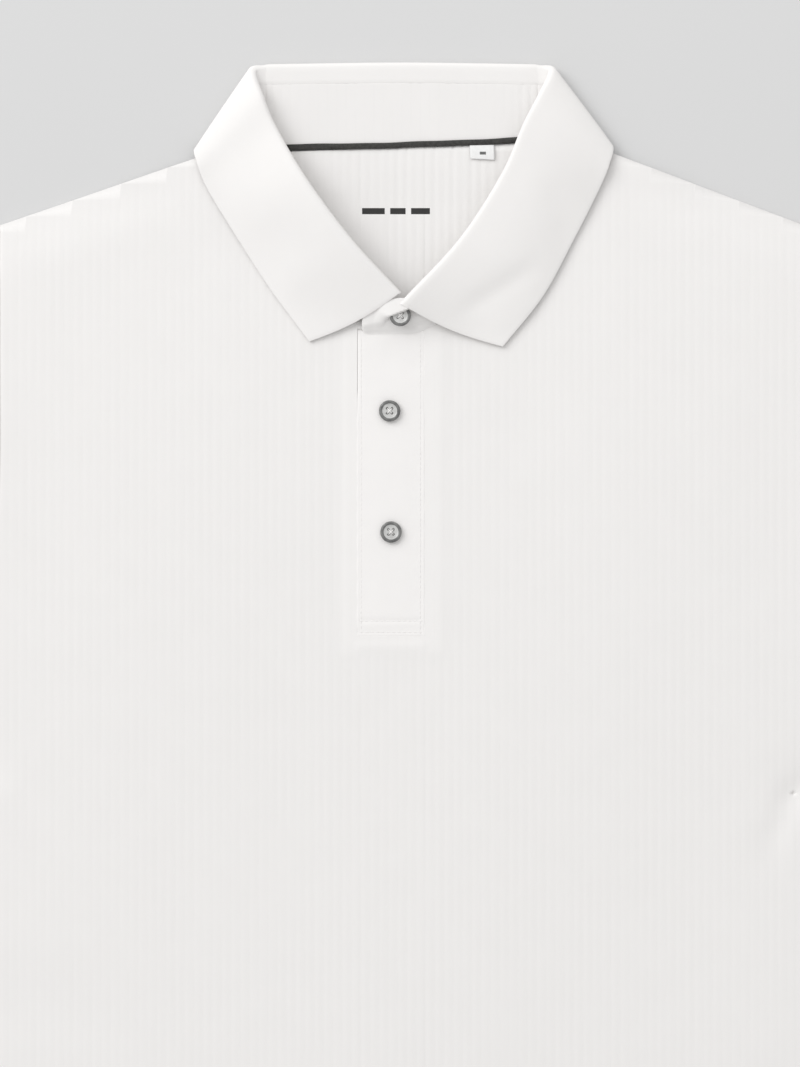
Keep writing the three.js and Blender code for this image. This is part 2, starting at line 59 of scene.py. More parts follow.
def to_row(points):
    """Millimetres on the pattern to metres in the row's frame."""
    placed = np.asarray(points, float) * MM
    placed[..., 1] -= REST_POINT_Y * MM
    return placed


def ease(value, start, end):
    t = np.clip((value - start) / (end - start), 0, 1)
    return t * t * (3 - 2 * t)


# %% [markdown]
# A cloth shell starts as a grid of points, because cloth is woven or knitted on a grid too.
# It could be modelled by hand, but a grid from a formula keeps its ribs evenly spaced.
# The grid carries a UV map in centimetres of cloth, so a knit pattern follows the cloth
# wherever it bends. Solidify then gives it a real thickness, with the wall closed at its edges.

# %% Grid to cloth shell
def grid_quads(rows, columns):
    """The numbers of a grid's points, and the four corners of each of its quads."""
    index = np.arange(rows * columns).reshape(rows, columns)
    return index, np.stack([index[:-1, :-1], index[:-1, 1:], index[1:, 1:], index[1:, :-1]], axis=-1)


def lay_uv(mesh, uv):
    """Millimetres of cloth, one place for each point, as centimetres on the UV map."""
    layer = mesh.uv_layers.new(name="cloth")
    corner = np.zeros(len(mesh.loops), int)
    mesh.loops.foreach_get("vertex_index", corner)
    layer.data.foreach_set("uv", (uv.reshape(-1, 2)[corner] / 10).ravel())


def mesh_from_grid(name, points, uv, keep=None):
    """A mesh from rows of points in millimetres. keep marks the quads that are cloth."""
    index, quads = grid_quads(*points.shape[:2])
    quads = quads.reshape(-1, 4) if keep is None else quads[keep]
    mesh = bpy.data.meshes.new(name)
    mesh.from_pydata(to_row(points).reshape(-1, 3), [], quads.tolist())
    lay_uv(mesh, uv)
    piece = bpy.data.objects.new(name, mesh)
    shirt.objects.link(piece)
    tidy_grid(mesh)
    return piece


def tidy_grid(mesh):
    """Merges the points that were pushed onto the outline and drops faces with no area."""
    work = bmesh.new()
    work.from_mesh(mesh)
    bmesh.ops.remove_doubles(work, verts=work.verts, dist=0.02 * MM)
    bmesh.ops.dissolve_degenerate(work, edges=work.edges, dist=0.01 * MM)
    loose = [v for v in work.verts if not v.link_faces]
    bmesh.ops.delete(work, geom=loose, context="VERTS")
    work.to_mesh(mesh)
    work.free()


def finish_mesh(piece):
    """Applies the piece's modifiers, so that its object holds a plain mesh."""
    graph = bpy.context.evaluated_depsgraph_get()
    made = bpy.data.meshes.new_from_object(piece.evaluated_get(graph), depsgraph=graph)
    made.name = piece.name
    piece.modifiers.clear()
    piece.data = made
    for polygon in made.polygons:
        polygon.use_smooth = True


def give_thickness(piece, thickness, side, round_edge=0.0):
    """side is -1 where the grid is the outer face, +1 where it is the lower face, 0 in the middle."""
    shell = piece.modifiers.new("thickness", "SOLIDIFY")
    shell.thickness = thickness * MM
    shell.offset = side
    shell.use_even_offset = False
    if round_edge:
        bevel = piece.modifiers.new("rounded edge", "BEVEL")
        bevel.width = round_edge * MM
        bevel.segments = 2
        bevel.limit_method = "ANGLE"
        bevel.angle_limit = math.radians(50)
    finish_mesh(piece)


# %% [markdown]
# The shirt's outline is its paper pattern: shoulder, armhole, side seam, hem and neckline.
# A few points on each curve are enough, and a spline through them gives the cut edge.
# Every layer that lies on the body reads the same outline, so seams meet by themselves.

# %% The cut of the body
HEM_Y = -720.0
TURN_UP = 22.0
UNDERARM = (254.0, -310.0)
ARMHOLE = [(222.5, -47), (222, -110), (222.6, -190), (229, -255), (240, -290), UNDERARM]
SIDE_SEAM = [UNDERARM, (249, -500), (252, HEM_Y)]
NECK_SIDE = (88.6, -1.2)
RIGHT_SHOULDER_RISE = 4.4
FRONT_NECKLINE = [NECK_SIDE, (86.4, -20), (74.4, -46), (52.6, -75), (29, -93.6), (12, -101.4), (0, -102.2)]
BACK_NECK_Y = -2.4
NECK_TILT = 0.036


def spline(rows, at):
    """Points on a smooth curve through the rows. at runs from 0 to 1, evenly over the rows."""
    rows = np.asarray(rows, float)
    padded = np.vstack([2 * rows[0] - rows[1], rows, 2 * rows[-1] - rows[-2]])
    place = np.clip(np.asarray(at, float), 0, 1) * (len(rows) - 1)
    row = np.minimum(place.astype(int), len(rows) - 2)
    t = (place - row)[..., None]
    a, b, c, d = padded[row], padded[row + 1], padded[row + 2], padded[row + 3]
    square, cube = 2 * a - 5 * b + 4 * c - d, 3 * b - a - 3 * c + d
    return 0.5 * (2 * b + (c - a) * t + square * t ** 2 + cube * t ** 3)


armhole = spline(ARMHOLE, np.linspace(0, 1, 80))
neckline = spline(FRONT_NECKLINE, np.linspace(0, 1, 80))
seam_points = np.array(SIDE_SEAM, float)


def shoulder_y(x):
    neck_y = NECK_SIDE[1] + np.where(x > 0, RIGHT_SHOULDER_RISE, 0)
    along = (np.abs(x) - NECK_SIDE[0]) / (ARMHOLE[0][0] - NECK_SIDE[0])
    return neck_y + (ARMHOLE[0][1] - neck_y) * along


def side_x(y):
    """Half the body's width at a height: the armhole above the underarm, the side seam below."""
    above = np.interp(-y, -armhole[:, 1], armhole[:, 0])
    below = np.interp(-y, -seam_points[:, 1], seam_points[:, 0])
    return np.where(y > UNDERARM[1], above, below)


def top_y(x, neck):
    """The upper edge of a panel. neck gives the neckline's height there."""
    reach = np.abs(x)
    shoulder = shoulder_y(x)
    lower = armhole[armhole[:, 1] < -190]
    under = np.interp(reach, lower[:, 0], lower[:, 1])
    return np.where(reach < NECK_SIDE[0], neck, np.where(reach > ARMHOLE[0][0], under, shoulder))


def front_neck(x):
    low = np.interp(np.abs(x), neckline[::-1, 0], neckline[::-1, 1])
    return low + np.where(x > 0, RIGHT_SHOULDER_RISE, 0) * ease(np.abs(x), 60, NECK_SIDE[0])


def back_neck(x):
    return BACK_NECK_Y - 1.4 + NECK_TILT * np.clip(x, -80, 80)


print("body", 2 * UNDERARM[0], "mm wide, neckline to", round(float(neckline[-1, 1])), "mm")

# %% [markdown]
# Two layers of cloth never lie quite flat. Some air stays between them, and it runs out at the
# folded edges. The front therefore follows a height formula: the back, plus a little air, plus
# what lies under it. A cloth simulation would settle the same layers, but it would lose the
# straight ribs. The creases near the armholes are soft troughs, each set one by one.

# %% Heights of the layers
CLOTH = 1.1
SEAM_GAP = 0.3
AIR = 2.3
EDGE_ROLL = 30.0
NECK_RISE, NECK_RISE_START, NECK_RISE_END = 1.6, -34.0, -14.0
PLACKET_X, PLACKET_HALF, PLACKET_FOOT, PLACKET_TOP = -6.2, 18.5, -273.0, -104.5
BAND_X, BAND_HALF, BAND_FOOT, BAND_RISE = -5.2, 27.8, -283.0, 0.4
RECESS, RECESS_WALL = 1.12, 0.3
ENDS_RISE = 0.28
DRAGS = [
    ("right underarm, into the pinch", 262, -326, 206, -366, 8.0, 1.2),
    ("right underarm, above the pinch", 236, -336, 196, -352, 12.0, 0.4),
    ("right underarm, below the pinch", 214, -362, 200, -394, 8.0, 0.8),
    ("right side, ridge below the pinch", 228, -370, 212, -392, 8.0, -0.2),
    ("left underarm", -262, -318, -222, -352, 12.0, 1.5),
    ("left chest", -214, -150, -186, -246, 26.0, 0.45),
    ("right chest", 214, -150, 190, -262, 24.0, 0.4),
    ("under left collar point", -70, -128, -60, -178, 20.0, 0.35),
    ("under right collar point", 72, -126, 66, -170, 20.0, 0.35),
    ("waist, left", -232, -470, -150, -486, 15.0, 0.8),
    ("waist, right", 236, -520, 120, -548, 17.0, 0.9),
    ("hem, left", -190, -640, -176, -712, 18.0, 0.7),
    ("hem, right", 120, -650, 132, -714, 20.0, 0.7),
]


def trough(x, y, x0, y0, x1, y1, width, depth):
    """A soft hollow along a line, deepest at its middle and fading at both ends."""
    dx, dy = x1 - x0, y1 - y0
    length = math.hypot(dx, dy)
    along = ((x - x0) * dx + (y - y0) * dy) / length
    across = ((x - x0) * dy - (y - y0) * dx) / length
    fade = ease(along, -width, 0.35 * length) * (1 - ease(along, 0.7 * length, length + width))
    return depth * np.exp(-(across / width) ** 2) * fade


PINCH_X, PINCH_Y = 215.6, -359.6
PINCH_RADIUS, PINCH_DEPTH, PINCH_PRESS = 0.8, 2.4, 1.0
FUNNEL_RADIUS, FUNNEL_DEPTH = 10.0, 0.8


def around_pinch(x, y, radius):
    """1 at the point where the drag folds of the right side meet, and 0 well away from it."""
    return np.exp(-((x - PINCH_X) ** 2 + (y - PINCH_Y) ** 2) / radius ** 2)


def pinch(x, y):
    """The small deep dimple at that point, and the funnel round it."""
    dimple = PINCH_DEPTH * around_pinch(x, y, PINCH_RADIUS)
    return dimple + FUNNEL_DEPTH * around_pinch(x, y, FUNNEL_RADIUS)


def inside_edge(x, y):
    from_side = np.where(y < UNDERARM[1], side_x(y) - np.abs(x),
                         np.hypot(UNDERARM[0] - np.abs(x), UNDERARM[1] - y))
    return np.maximum(0, np.minimum(from_side, shoulder_y(x) - y))


def back_under(x, y):
    return NECK_RISE * ease(y, NECK_RISE_START, NECK_RISE_END)


def over_band(x, y):
    """1 where the front lies on the under strip, easing to 0 around it."""
    across = 1 - ease(np.abs(x - BAND_X), BAND_HALF - 4, BAND_HALF + 4)
    return across * ease(y, BAND_FOOT - 5, BAND_FOOT + 5)


def under_placket(x, y):
    """The front is pressed down under the placket, and swells below its foot over turned-in ends."""
    from_side = PLACKET_HALF - np.abs(x - PLACKET_X)
    inside = np.minimum(from_side, y - PLACKET_FOOT)
    pressed = RECESS * ease(inside, 0, RECESS_WALL) * (1 - ease(y, PLACKET_TOP, PLACKET_TOP + 1.5))
    ends = np.exp(-((y - PLACKET_FOOT + 5.6) / 2.6) ** 2) * ease(from_side + 3, 0, 5)
    return BAND_RISE * over_band(x, y) + ENDS_RISE * ends - pressed


def settle(x, y):
    """The slow swell of cloth that was smoothed by hand."""
    wave = 0.35 * np.sin(x / 61 + y / 143 + 0.4) + 0.25 * np.sin(x / 37 - y / 89 + 1.9)
    return wave + 0.2 * np.sin(y / 47 + x / 210)


def front_height(x, y, relief):
    """The underside of the front, where relief is added to its own swell and folds."""
    air = AIR * ease(inside_edge(x, y), 0, EDGE_ROLL)
    loose = ease(inside_edge(x, y), 4, 60)
    folds = sum(trough(x, y, *row[1:]) for row in DRAGS) + pinch(x, y)
    rise = air + loose * settle(x, y) - folds
    lowest = -PINCH_PRESS * around_pinch(x, y, PINCH_RADIUS)
    return back_under(x, y) + CLOTH + SEAM_GAP + np.maximum(lowest, rise + relief)


def front_under(x, y):
    return front_height(x, y, under_placket(x, y))


print("front lies", round(float(front_under(np.array(0.0), np.array(-300.0))), 2), "mm above the table")

# %% [markdown]
# The body cloth is knitted in narrow lengthways ribs, about five millimetres apart.
# Each rib is a flat ridge with a thin groove beside it, and the groove comes and goes along the
# rib, because the loops are uneven. Four points across a rib are enough to raise it for real,
# so that its shadow is right from every side. Finer loops than that are left to the material.

# %% Ribs
RIB_PITCH = 5.1
RIB_POINTS = 4
RIB_RISE = 0.13
FLAT_RIBS = 0.1
INSIDE_RIB_RISE = 0.3


def worn_noise(u, v, seed):
    """A smooth uneven value between 0 and 1 that changes from rib to rib and slowly along it."""
    cell_u, cell_v = np.floor(u).astype(np.int64), np.floor(v).astype(np.int64)
    mix = (v - cell_v) ** 2 * (3 - 2 * (v - cell_v))

    def chance(a, b):
        value = np.sin(a * 127.1 + b * 311.7 + seed * 74.7) * 43758.5453
        return value - np.floor(value)

    return chance(cell_u, cell_v) * (1 - mix) + chance(cell_u, cell_v + 1) * mix


def rib_height(across, along, seed, rise=RIB_RISE):
    """The relief of the ribs, in millimetres, at a place on the cloth."""
    phase = (across / RIB_PITCH) % 1.0
    groove = np.exp(-((phase - 0.5) / 0.15) ** 2)
    strength = 0.25 + 0.75 * worn_noise(across / RIB_PITCH, along / 30, seed)
    return rise * (1 - groove * strength)


def panel_columns(half):
    step = RIB_PITCH / RIB_POINTS
    count = math.ceil(half / step)
    return np.arange(-count, count + 1) * step


# %% [markdown]
# The front is the grid, pushed onto the pattern's outline wherever it would stick out.
# The placket opening is a real slit, which the placket covers. At the hem the cloth is turned
# up once, so a band of double cloth stands a little higher, with its stitch line pressed in.

# %% Front body
SLIT_HALF, SLIT_FOOT = 13.0, -262.0
TURN_UP_RISE = 0.45
HEM_STITCH_ROWS = (TURN_UP - 1.5, TURN_UP - 7.5)


def hem_relief(y):
    band = TURN_UP_RISE * (1 - ease(y, HEM_Y + TURN_UP - 0.6, HEM_Y + TURN_UP + 0.6))
    pressed = sum(np.exp(-((y - HEM_Y - row) / 1.1) ** 2) for row in HEM_STITCH_ROWS)
    return band - 0.22 * pressed


def panel_grid(neck, row_step):
    """The body's grid of places, pushed onto the outline, with one row for each height."""
    columns = panel_columns(UNDERARM[0])
    fine_hem = HEM_Y + np.array([0, 1, 8, 12, 13, 14.5, 16, 17, 19, 20.5, 22, 23.2])
    from_pinch = np.array([0.4, 0.8, 1.4, 2.4, 4, 6, 9, 14, 20])
    near_pinch = PINCH_Y + np.concatenate([-from_pinch, [0], from_pinch[:-2]])
    near_band_foot = BAND_FOOT + np.array([-5, -2.5, 0, 2, 4, 6, 8])
    near_foot = PLACKET_FOOT + np.array([-0.1, 0, RECESS_WALL])
    near_top = PLACKET_TOP + np.array([-0.1, 0, 0.75, 1.5])
    even = np.arange(HEM_Y + 30, 10, row_step)
    rows = np.sort(np.concatenate([fine_hem, near_pinch, near_band_foot, near_foot, near_top, even]))
    from_fold = np.array([1.0, RECESS_WALL, 0, -0.1])
    near_recess = PLACKET_X + np.array([-1, 1])[:, None] * (PLACKET_HALF - from_fold)
    at_pinch = PINCH_X + np.array([-0.75, -0.375, 0, 0.375])
    columns = np.sort(np.concatenate([columns, near_recess.ravel(), at_pinch]))
    x, y = np.meshgrid(columns, rows)
    y = np.minimum(y, top_y(x, neck(x)))
    limit = side_x(y)
    return np.clip(x, -limit, limit), y


def armhole_roll(x, y):
    """The front turns down at the armhole seam."""
    away = np.where(y > UNDERARM[1], side_x(y) - np.abs(x), 10)
    return 0.7 * (1 - ease(away, 0, 1.8))


def front_face(x, y):
    """The top of the front's cloth."""
    ribs = rib_height(x, y, 3) * ease(inside_edge(x, y), 0, 3) * (1 - (1 - FLAT_RIBS) * over_band(x, y))
    return front_under(x, y) + CLOTH + ribs + hem_relief(y) - armhole_roll(x, y)


def make_front():
    x, y = panel_grid(front_neck, 9.0)
    z = front_face(x, y)
    middle_x = (x[:-1, :-1] + x[1:, 1:]) / 2
    middle_y = (y[:-1, :-1] + y[1:, 1:]) / 2
    keep = ~((np.abs(middle_x - PLACKET_X) < SLIT_HALF) & (middle_y > SLIT_FOOT))
    piece = mesh_from_grid("front_cloth", np.stack([x, y, z], -1), np.stack([x, y], -1), keep)
    give_thickness(piece, CLOTH, -1)
    return piece


front = make_front()
print("front:", len(front.data.polygons), "faces")

# %% [markdown]
# The back is the same pattern with a higher neckline. It lies face down, flat on the table, so
# the only part that shows is its inside, in the neck opening. Its ribs are raised there.

# %% Back body
def make_back():
    x, y = panel_grid(back_neck, 12.0)
    z = back_under(x, y)
    piece = mesh_from_grid("back_cloth", np.stack([x, y, z], -1), np.stack([x, y], -1))
    give_thickness(piece, CLOTH, 1)
    at = np.zeros(len(piece.data.vertices) * 3)
    piece.data.vertices.foreach_get("co", at)
    at = at.reshape(-1, 3)
    px, py = at[:, 0] / MM, at[:, 1] / MM + REST_POINT_Y
    shows = (at[:, 2] / MM > back_under(px, py) + CLOTH / 2) & (py > -150) & (np.abs(px) < 84)
    at[shows, 2] += (rib_height(px[shows], py[shows], 8, INSIDE_RIB_RISE) - INSIDE_RIB_RISE / 2) * MM
    piece.data.vertices.foreach_set("co", at.ravel())
    return piece


back = make_back()
print("back:", len(back.data.polygons), "faces")

# %% [markdown]
# A short sleeve laid flat is a tube pressed nearly shut. Its top fold runs on from the shoulder
# and its lower edge is the underarm seam. The tube's rings are worked out across the sleeve and
# then cut by the armhole's curve, as the sleeve's cap is. Ribs run along the sleeve.

# %% Sleeves
SLEEVE_ANGLE = math.radians(30)
SLEEVE_LENGTH, SLEEVE_TOP_WIDTH, SLEEVE_HEM_WIDTH, SLEEVE_UNDERARM_AT = 235.0, 211.4, 185.0, 158.0
DOWN_SLEEVE = np.array([math.cos(SLEEVE_ANGLE), -math.sin(SLEEVE_ANGLE)])
ACROSS_SLEEVE = np.array([-math.sin(SLEEVE_ANGLE), -math.cos(SLEEVE_ANGLE)])
SLEEVE_CREASES = [
    (150, 60, 196, 118, 14.0, 0.9),
    (120, 30, 188, 66, 12.0, 0.6),
    (176, 150, 214, 128, 11.0, 0.7),
]


def sleeve_width(along):
    taper = np.clip((along - SLEEVE_UNDERARM_AT) / (SLEEVE_LENGTH - SLEEVE_UNDERARM_AT), 0, 1)
    return SLEEVE_TOP_WIDTH + (SLEEVE_HEM_WIDTH - SLEEVE_TOP_WIDTH) * taper


def cap_start(fraction):
    """How far down the sleeve the armhole's curve lies, for each share of the width."""
    rel = armhole - np.array(ARMHOLE[0])
    along, across = rel @ DOWN_SLEEVE, rel @ ACROSS_SLEEVE
    return np.interp(fraction * SLEEVE_TOP_WIDTH, across, along) + SEAM_GAP / 4


def sleeve_top(along, across, seed):
    """The height of the sleeve's upper layer, by the place down and across the sleeve."""
    near_edge = np.minimum(across, sleeve_width(along) - across)
    crease = sum(trough(along, across, *row) for row in SLEEVE_CREASES) * ease(near_edge, 2, 20)
    swell = AIR * ease(near_edge, 0, EDGE_ROLL) + 0.2 * np.sin(along / 31) * ease(near_edge, 4, 40)
    ribs = rib_height(across, along, seed) * ease(near_edge, 0, 3)
    relief = hem_relief(HEM_Y + SLEEVE_LENGTH - along) + ribs
    return 2 * CLOTH + SEAM_GAP + np.maximum(0, swell - crease) + relief


def sleeve_place(along, across, side):
    place = np.array(ARMHOLE[0]) + along[..., None] * DOWN_SLEEVE + across[..., None] * ACROSS_SLEEVE
    return side * place[..., 0], place[..., 1]


def make_sleeve(name, side):
    half_ring = round(SLEEVE_TOP_WIDTH / (RIB_PITCH / RIB_POINTS))
    upper = np.linspace(0, 1, half_ring + 1)
    lower = np.linspace(1, 0, 24)[1:-1]
    fraction = np.concatenate([upper, lower])
    fine_hem = SLEEVE_LENGTH - np.array([23.2, 22, 20.5, 19, 17, 16, 14.5, 13, 8, 1, 0])
    rows = np.concatenate([[0, 0.8, 2], np.linspace(8, SLEEVE_LENGTH - 30, 24), fine_hem])
    share, reach = np.meshgrid(fraction, rows)
    start = cap_start(share)
    along = start + (SLEEVE_LENGTH - start) * reach / SLEEVE_LENGTH
    across = share * sleeve_width(along)
    is_top = np.arange(len(fraction)) <= half_ring
    near_edge = np.minimum(across, sleeve_width(along) - across)
    seam_roll = 0.7 * (1 - ease(along - start, 0, 1.8))
    z = np.where(is_top, sleeve_top(along, across, 5 + side) - seam_roll, 0.0)
    roll = 1 - ease(near_edge, 0, 1.2)
    z = np.where(is_top, z - roll * 0.9, z + roll * 0.5)
    points = np.dstack([*sleeve_place(along, across, side), z])
    points = np.concatenate([points, points[:, :1]], axis=1)
    cloth_uv = np.dstack([across, along])
    cloth_uv = np.concatenate([cloth_uv, cloth_uv[:, :1]], axis=1)
    if side < 0:
        points, cloth_uv = points[:, ::-1], cloth_uv[:, ::-1]
    piece = mesh_from_grid(name, points, cloth_uv)
    give_thickness(piece, CLOTH, 1)
    return piece


sleeves = {
    "sleeve_left": make_sleeve("left_sleeve_cloth", -1),
    "sleeve_right": make_sleeve("right_sleeve_cloth", 1),
}
print("sleeves:", [len(s.data.polygons) for s in sleeves.values()], "faces")

# %% [markdown]
# A folded collar is one band of cloth round the neck. Its stand rises from the neck seam to a
# fold, the rim, and its leaf falls from there. Behind the neck the leaf lies under the stand,
# at each side it turns round the edge, and in front it lies on top. So each section of the band
# is drawn in its own small frame, and a turn angle says on which side of the stand the leaf is.

# %% The collar's rows, from the left front round the back to the right front
FOLD_RADIUS = 1.9
COLLAR_CLOTH = 1.2
LIE_Z = COLLAR_CLOTH / 2
BACK_Z = LIE_Z + FOLD_RADIUS
INNER_STRIP = 9.0
COLLAR_ROWS = [
    dict(rim=(-2.5, -85.5, 13.0), seam=(-29, -94.6, 7.0), edge=(-51, -110.8, 5.9), turn=90, bulge=-2.1),
    dict(rim=(-29.4, -56.6, 17), seam=(-50.5, -76.5, 5.2), edge=(-73.2, -80.5, 5.9), turn=90, bulge=0.2),
    dict(rim=(-54.2, -23.3, 17), seam=(-72.6, -45.5, 5), edge=(-95.3, -46, 6.2), turn=90, bulge=1.2),
    dict(rim=(-71, 5.6, 12), seam=(-82.6, -23, 4.8), edge=(-107.8, -25, 6.6), turn=90, bulge=1),
    dict(rim=(-78.2, 23.4, 10.8), seam=(-85.8, -9, 4.4), edge=(-112.4, -13, 7.2), turn=78, bulge=0.5),
    dict(rim=(-82.5, 37, 6.3), seam=(-86.8, -1, 3.5), edge=(-113.4, -4.5, 4.3), turn=0, bulge=0.3),
    dict(rim=(-76.5, 39.5, 2.6), seam=(-80, -3.6, 2.4), edge=(-101, -2, 0.75), turn=-80, bulge=0),
    dict(rim=(-64, 39.8, BACK_Z), seam=(-64, -4, 2.3), edge=(-68, -2.5, LIE_Z), turn=-90, bulge=0),
    dict(rim=(0, 40.6, BACK_Z), seam=(0, -1.7, 2.3), edge=(0, -1.5, LIE_Z), turn=-90, bulge=0),
    dict(rim=(64, 39.8, BACK_Z), seam=(64, 0.6, 2.3), edge=(69, 0.5, LIE_Z), turn=-90, bulge=0),
    dict(rim=(76.5, 39.5, 2.6), seam=(80, 1.4, 2.4), edge=(101, 1, 0.75), turn=-80, bulge=0),
    dict(rim=(82.7, 37, 6.4), seam=(86.8, 3.2, 3.5), edge=(115.2, -2.5, 4.5), turn=0, bulge=0.3),
    dict(rim=(76.6, 23, 10.8), seam=(86, -6, 4.4), edge=(113.8, -13.5, 8.4), turn=78, bulge=0.8),
    dict(rim=(68.2, 6.4, 12.5), seam=(82.8, -22, 4.8), edge=(108.3, -27, 7.5), turn=90, bulge=1.6),
    dict(rim=(56.1, -21.2, 12.4), seam=(72.6, -45.5, 5), edge=(93.7, -56, 7.0), turn=90, bulge=1.8),
    dict(rim=(33.1, -56.6, 12.0), seam=(50.5, -76.5, 5.4), edge=(77.3, -86, 6.7), turn=90, bulge=1.3),
    dict(rim=(0.6, -91.4, 13.2), seam=(29, -95.6, 7.4), edge=(55.4, -113.6, 6.2), turn=90, bulge=-2.8),
]


def collar_column(key, at):
    rows = np.array([np.atleast_1d(row[key]) for row in COLLAR_ROWS], float)
    return spline(rows, at)


def unit(v):
    return v / np.linalg.norm(v, axis=-1, keepdims=True)


def collar_frame(at):
    """For each section: rim, edge, seam, the way down the leaf, and the way from stand to leaf."""
    rim, edge, seam = (collar_column(key, at) for key in ("rim", "edge", "seam"))
    down = edge - rim
    down[:, 2] = 0
    down = unit(down)
    side = np.where(at < 0.5, -1, 1)
    outward = np.stack([-down[:, 1] * side, down[:, 0] * side, np.zeros(len(at))], -1)
    turn = np.radians(np.interp(at * (len(COLLAR_ROWS) - 1), np.arange(len(COLLAR_ROWS)),
                                [row["turn"] for row in COLLAR_ROWS]))[:, None]
    to_leaf = outward * np.cos(turn) + np.array([0, 0, 1.0]) * np.sin(turn)
    stand_start = rim - FOLD_RADIUS * to_leaf
    return rim, edge, seam, down, to_leaf, stand_start, unit(seam - stand_start)


print("collar rows:", len(COLLAR_ROWS))

# %% [markdown]
# The leaf is smooth double cloth. It springs over the fold and sinks a little before its edge.
# On the right side its edge stands off the body and throws a crisp shadow. A soft dent crosses
# the right leaf, and the left leaf has a shallow hollow, both listed below.

# %% Collar leaf
LEAF_STEPS_ROUND = 260
FRONT_BOW = 2.3
EDGE_SINK = 0.5
LEAF_DENTS = [
    ("right leaf", 30, -97, 76, -68, 6.0, 0.9),
    ("right leaf, ridge below the hollow", 46, -106, 74, -90, 7.0, -0.4),
    ("right leaf, near the edge", 84, -26, 90, -58, 9.0, 0.6),
    ("left leaf", -78, -64, -52, -54, 15.0, 0.7),
    ("left leaf, near the point", -56, -88, -44, -96, 10.0, 0.35),
]


def make_leaf():
    at = np.linspace(0, 1, LEAF_STEPS_ROUND + 1)
    rim, edge, seam, down, to_leaf, stand_start, to_seam = collar_frame(at)
    bulge = collar_column("bulge", at)
    sections = [stand_start + to_seam * INNER_STRIP * k for k in (1.0, 0.75, 0.5, 0.25)]
    for angle in np.radians(np.linspace(-90, 90, 9)):
        sections.append(rim + to_leaf * FOLD_RADIUS * math.sin(angle) - down * FOLD_RADIUS * math.cos(angle))
    start = sections[-1]
    for k in np.linspace(0, 1, 27)[1:]:
        sections.append(start + (edge - start) * k + to_leaf * bulge * math.sin(math.pi * k))
    grid = np.stack(sections, axis=1)
    forward = np.stack([down[:, 1], -down[:, 0]], -1) * np.where(at < 0.5, -1, 1)[:, None]
    reach = FRONT_BOW * np.maximum(1 - ease(at, 0, 0.06), ease(at, 0.94, 1))
    bow = np.sin(math.pi * np.linspace(0, 1, 27))[None, :, None] * reach[:, None, None] * forward[:, None]
    grid[:, 12:, :2] += bow
    on_top = ease(to_leaf[:, 2:3], 0.5, 0.95)
    for row in LEAF_DENTS:
        grid[:, 12:, 2] -= on_top * trough(grid[:, 12:, 0], grid[:, 12:, 1], *row[1:])
    rests_at = front_face(grid[..., 0], grid[..., 1]) + COLLAR_CLOTH / 2 + 0.03
    on_body = on_top * (grid[..., 1] < shoulder_y(grid[..., 0]))
    on_body[:, :12] = 0
    rests_at -= EDGE_SINK * np.concatenate([np.zeros(12), ease(np.linspace(0, 1, 27), 0.9, 1.0)])
    grid[..., 2] = np.where(on_body > 0.9, np.maximum(grid[..., 2], rests_at), grid[..., 2])
    grid[..., 2] = np.maximum(grid[..., 2], LIE_Z)
    round_neck = np.concatenate([[0], np.cumsum(np.linalg.norm(np.diff(edge, axis=0), axis=1))])
    down_leaf = np.concatenate([[0], np.cumsum(np.linalg.norm(np.diff(grid[130], axis=0), axis=1))])
    u, v = np.meshgrid(round_neck, down_leaf, indexing="ij")
    piece = mesh_from_grid("collar_leaf_cloth", grid, np.stack([u, v], -1))
    give_thickness(piece, COLLAR_CLOTH, 0, round_edge=0.25)
    return piece


leaf = make_leaf()
print("collar leaf:", len(leaf.data.polygons), "faces")

# %% [markdown]
# The stand carries the collar. Its lining, which shows behind the neck, is cut from the ribbed
# body cloth, with the ribs running up from the neck seam. Its two front ends overlap and are
# rounded, and the upper one is smooth and carries the collar button.

# %% Collar stand
STAND_END_LEFT = [
    dict(top=(4, -96, 6.9), seam=(0, -103, 5.9)),
    dict(top=(-2, -92, 7.0), seam=(-13, -102.2, 6.0)),
]
STAND_END_RIGHT = [
    dict(top=(3, -87.8, 10.4), seam=(14, -103.6, 7.0)),
    dict(top=(-3.5, -87.6, 11.4), seam=(5, -106.4, 7.0)),
    dict(top=(-9, -89.4, 11.2), seam=(-5, -106.6, 7.0)),
    dict(top=(-17, -92.6, 10.0), seam=(-15, -106.6, 7.0)),
    dict(top=(-20.8, -96.0, 9.0), seam=(-20, -106.2, 7.0)),
    dict(top=(-22, -99.5, 8.2), seam=(-22, -103.8, 7.0)),
]
STAND_GAP = 0.03
RIBBED_STAND = (0.36, 0.64)
BUTTONHOLE_FROM, BUTTONHOLE_TO = (-7.1, -97.3), (1.65, -93.9)
LIP_Z, LIP_RISE = 12.9, 0.16
END_SINK = 0.85
STAND_CREASES = [
    (3, -103.4, 17, -99.2, 0.9, 0.3),
    (8, -105.8, 19, -101.2, 0.8, 0.3),
    (-12, -99, -2, -100, 3, 0.2),
]


def buttonhole_lip(x, y, z):
    """Above the buttonhole's line, the stand's end lies over the upper half of the button."""
    slope = (BUTTONHOLE_TO[1] - BUTTONHOLE_FROM[1]) / (BUTTONHOLE_TO[0] - BUTTONHOLE_FROM[0])
    above = y - BUTTONHOLE_FROM[1] - slope * (x - BUTTONHOLE_FROM[0])
    reach = ease(x, -16, -6) * (1 - ease(x, 3, 6))
    lip = LIP_Z + LIP_RISE * np.clip(x - BUTTONHOLE_FROM[0], 0, None)
    softer = 4.0 * (1 - ease(x, -11, -7))
    step = ease(above, -0.4 - softer, 0.3 + softer)
    return z + reach * step * (lip - z)


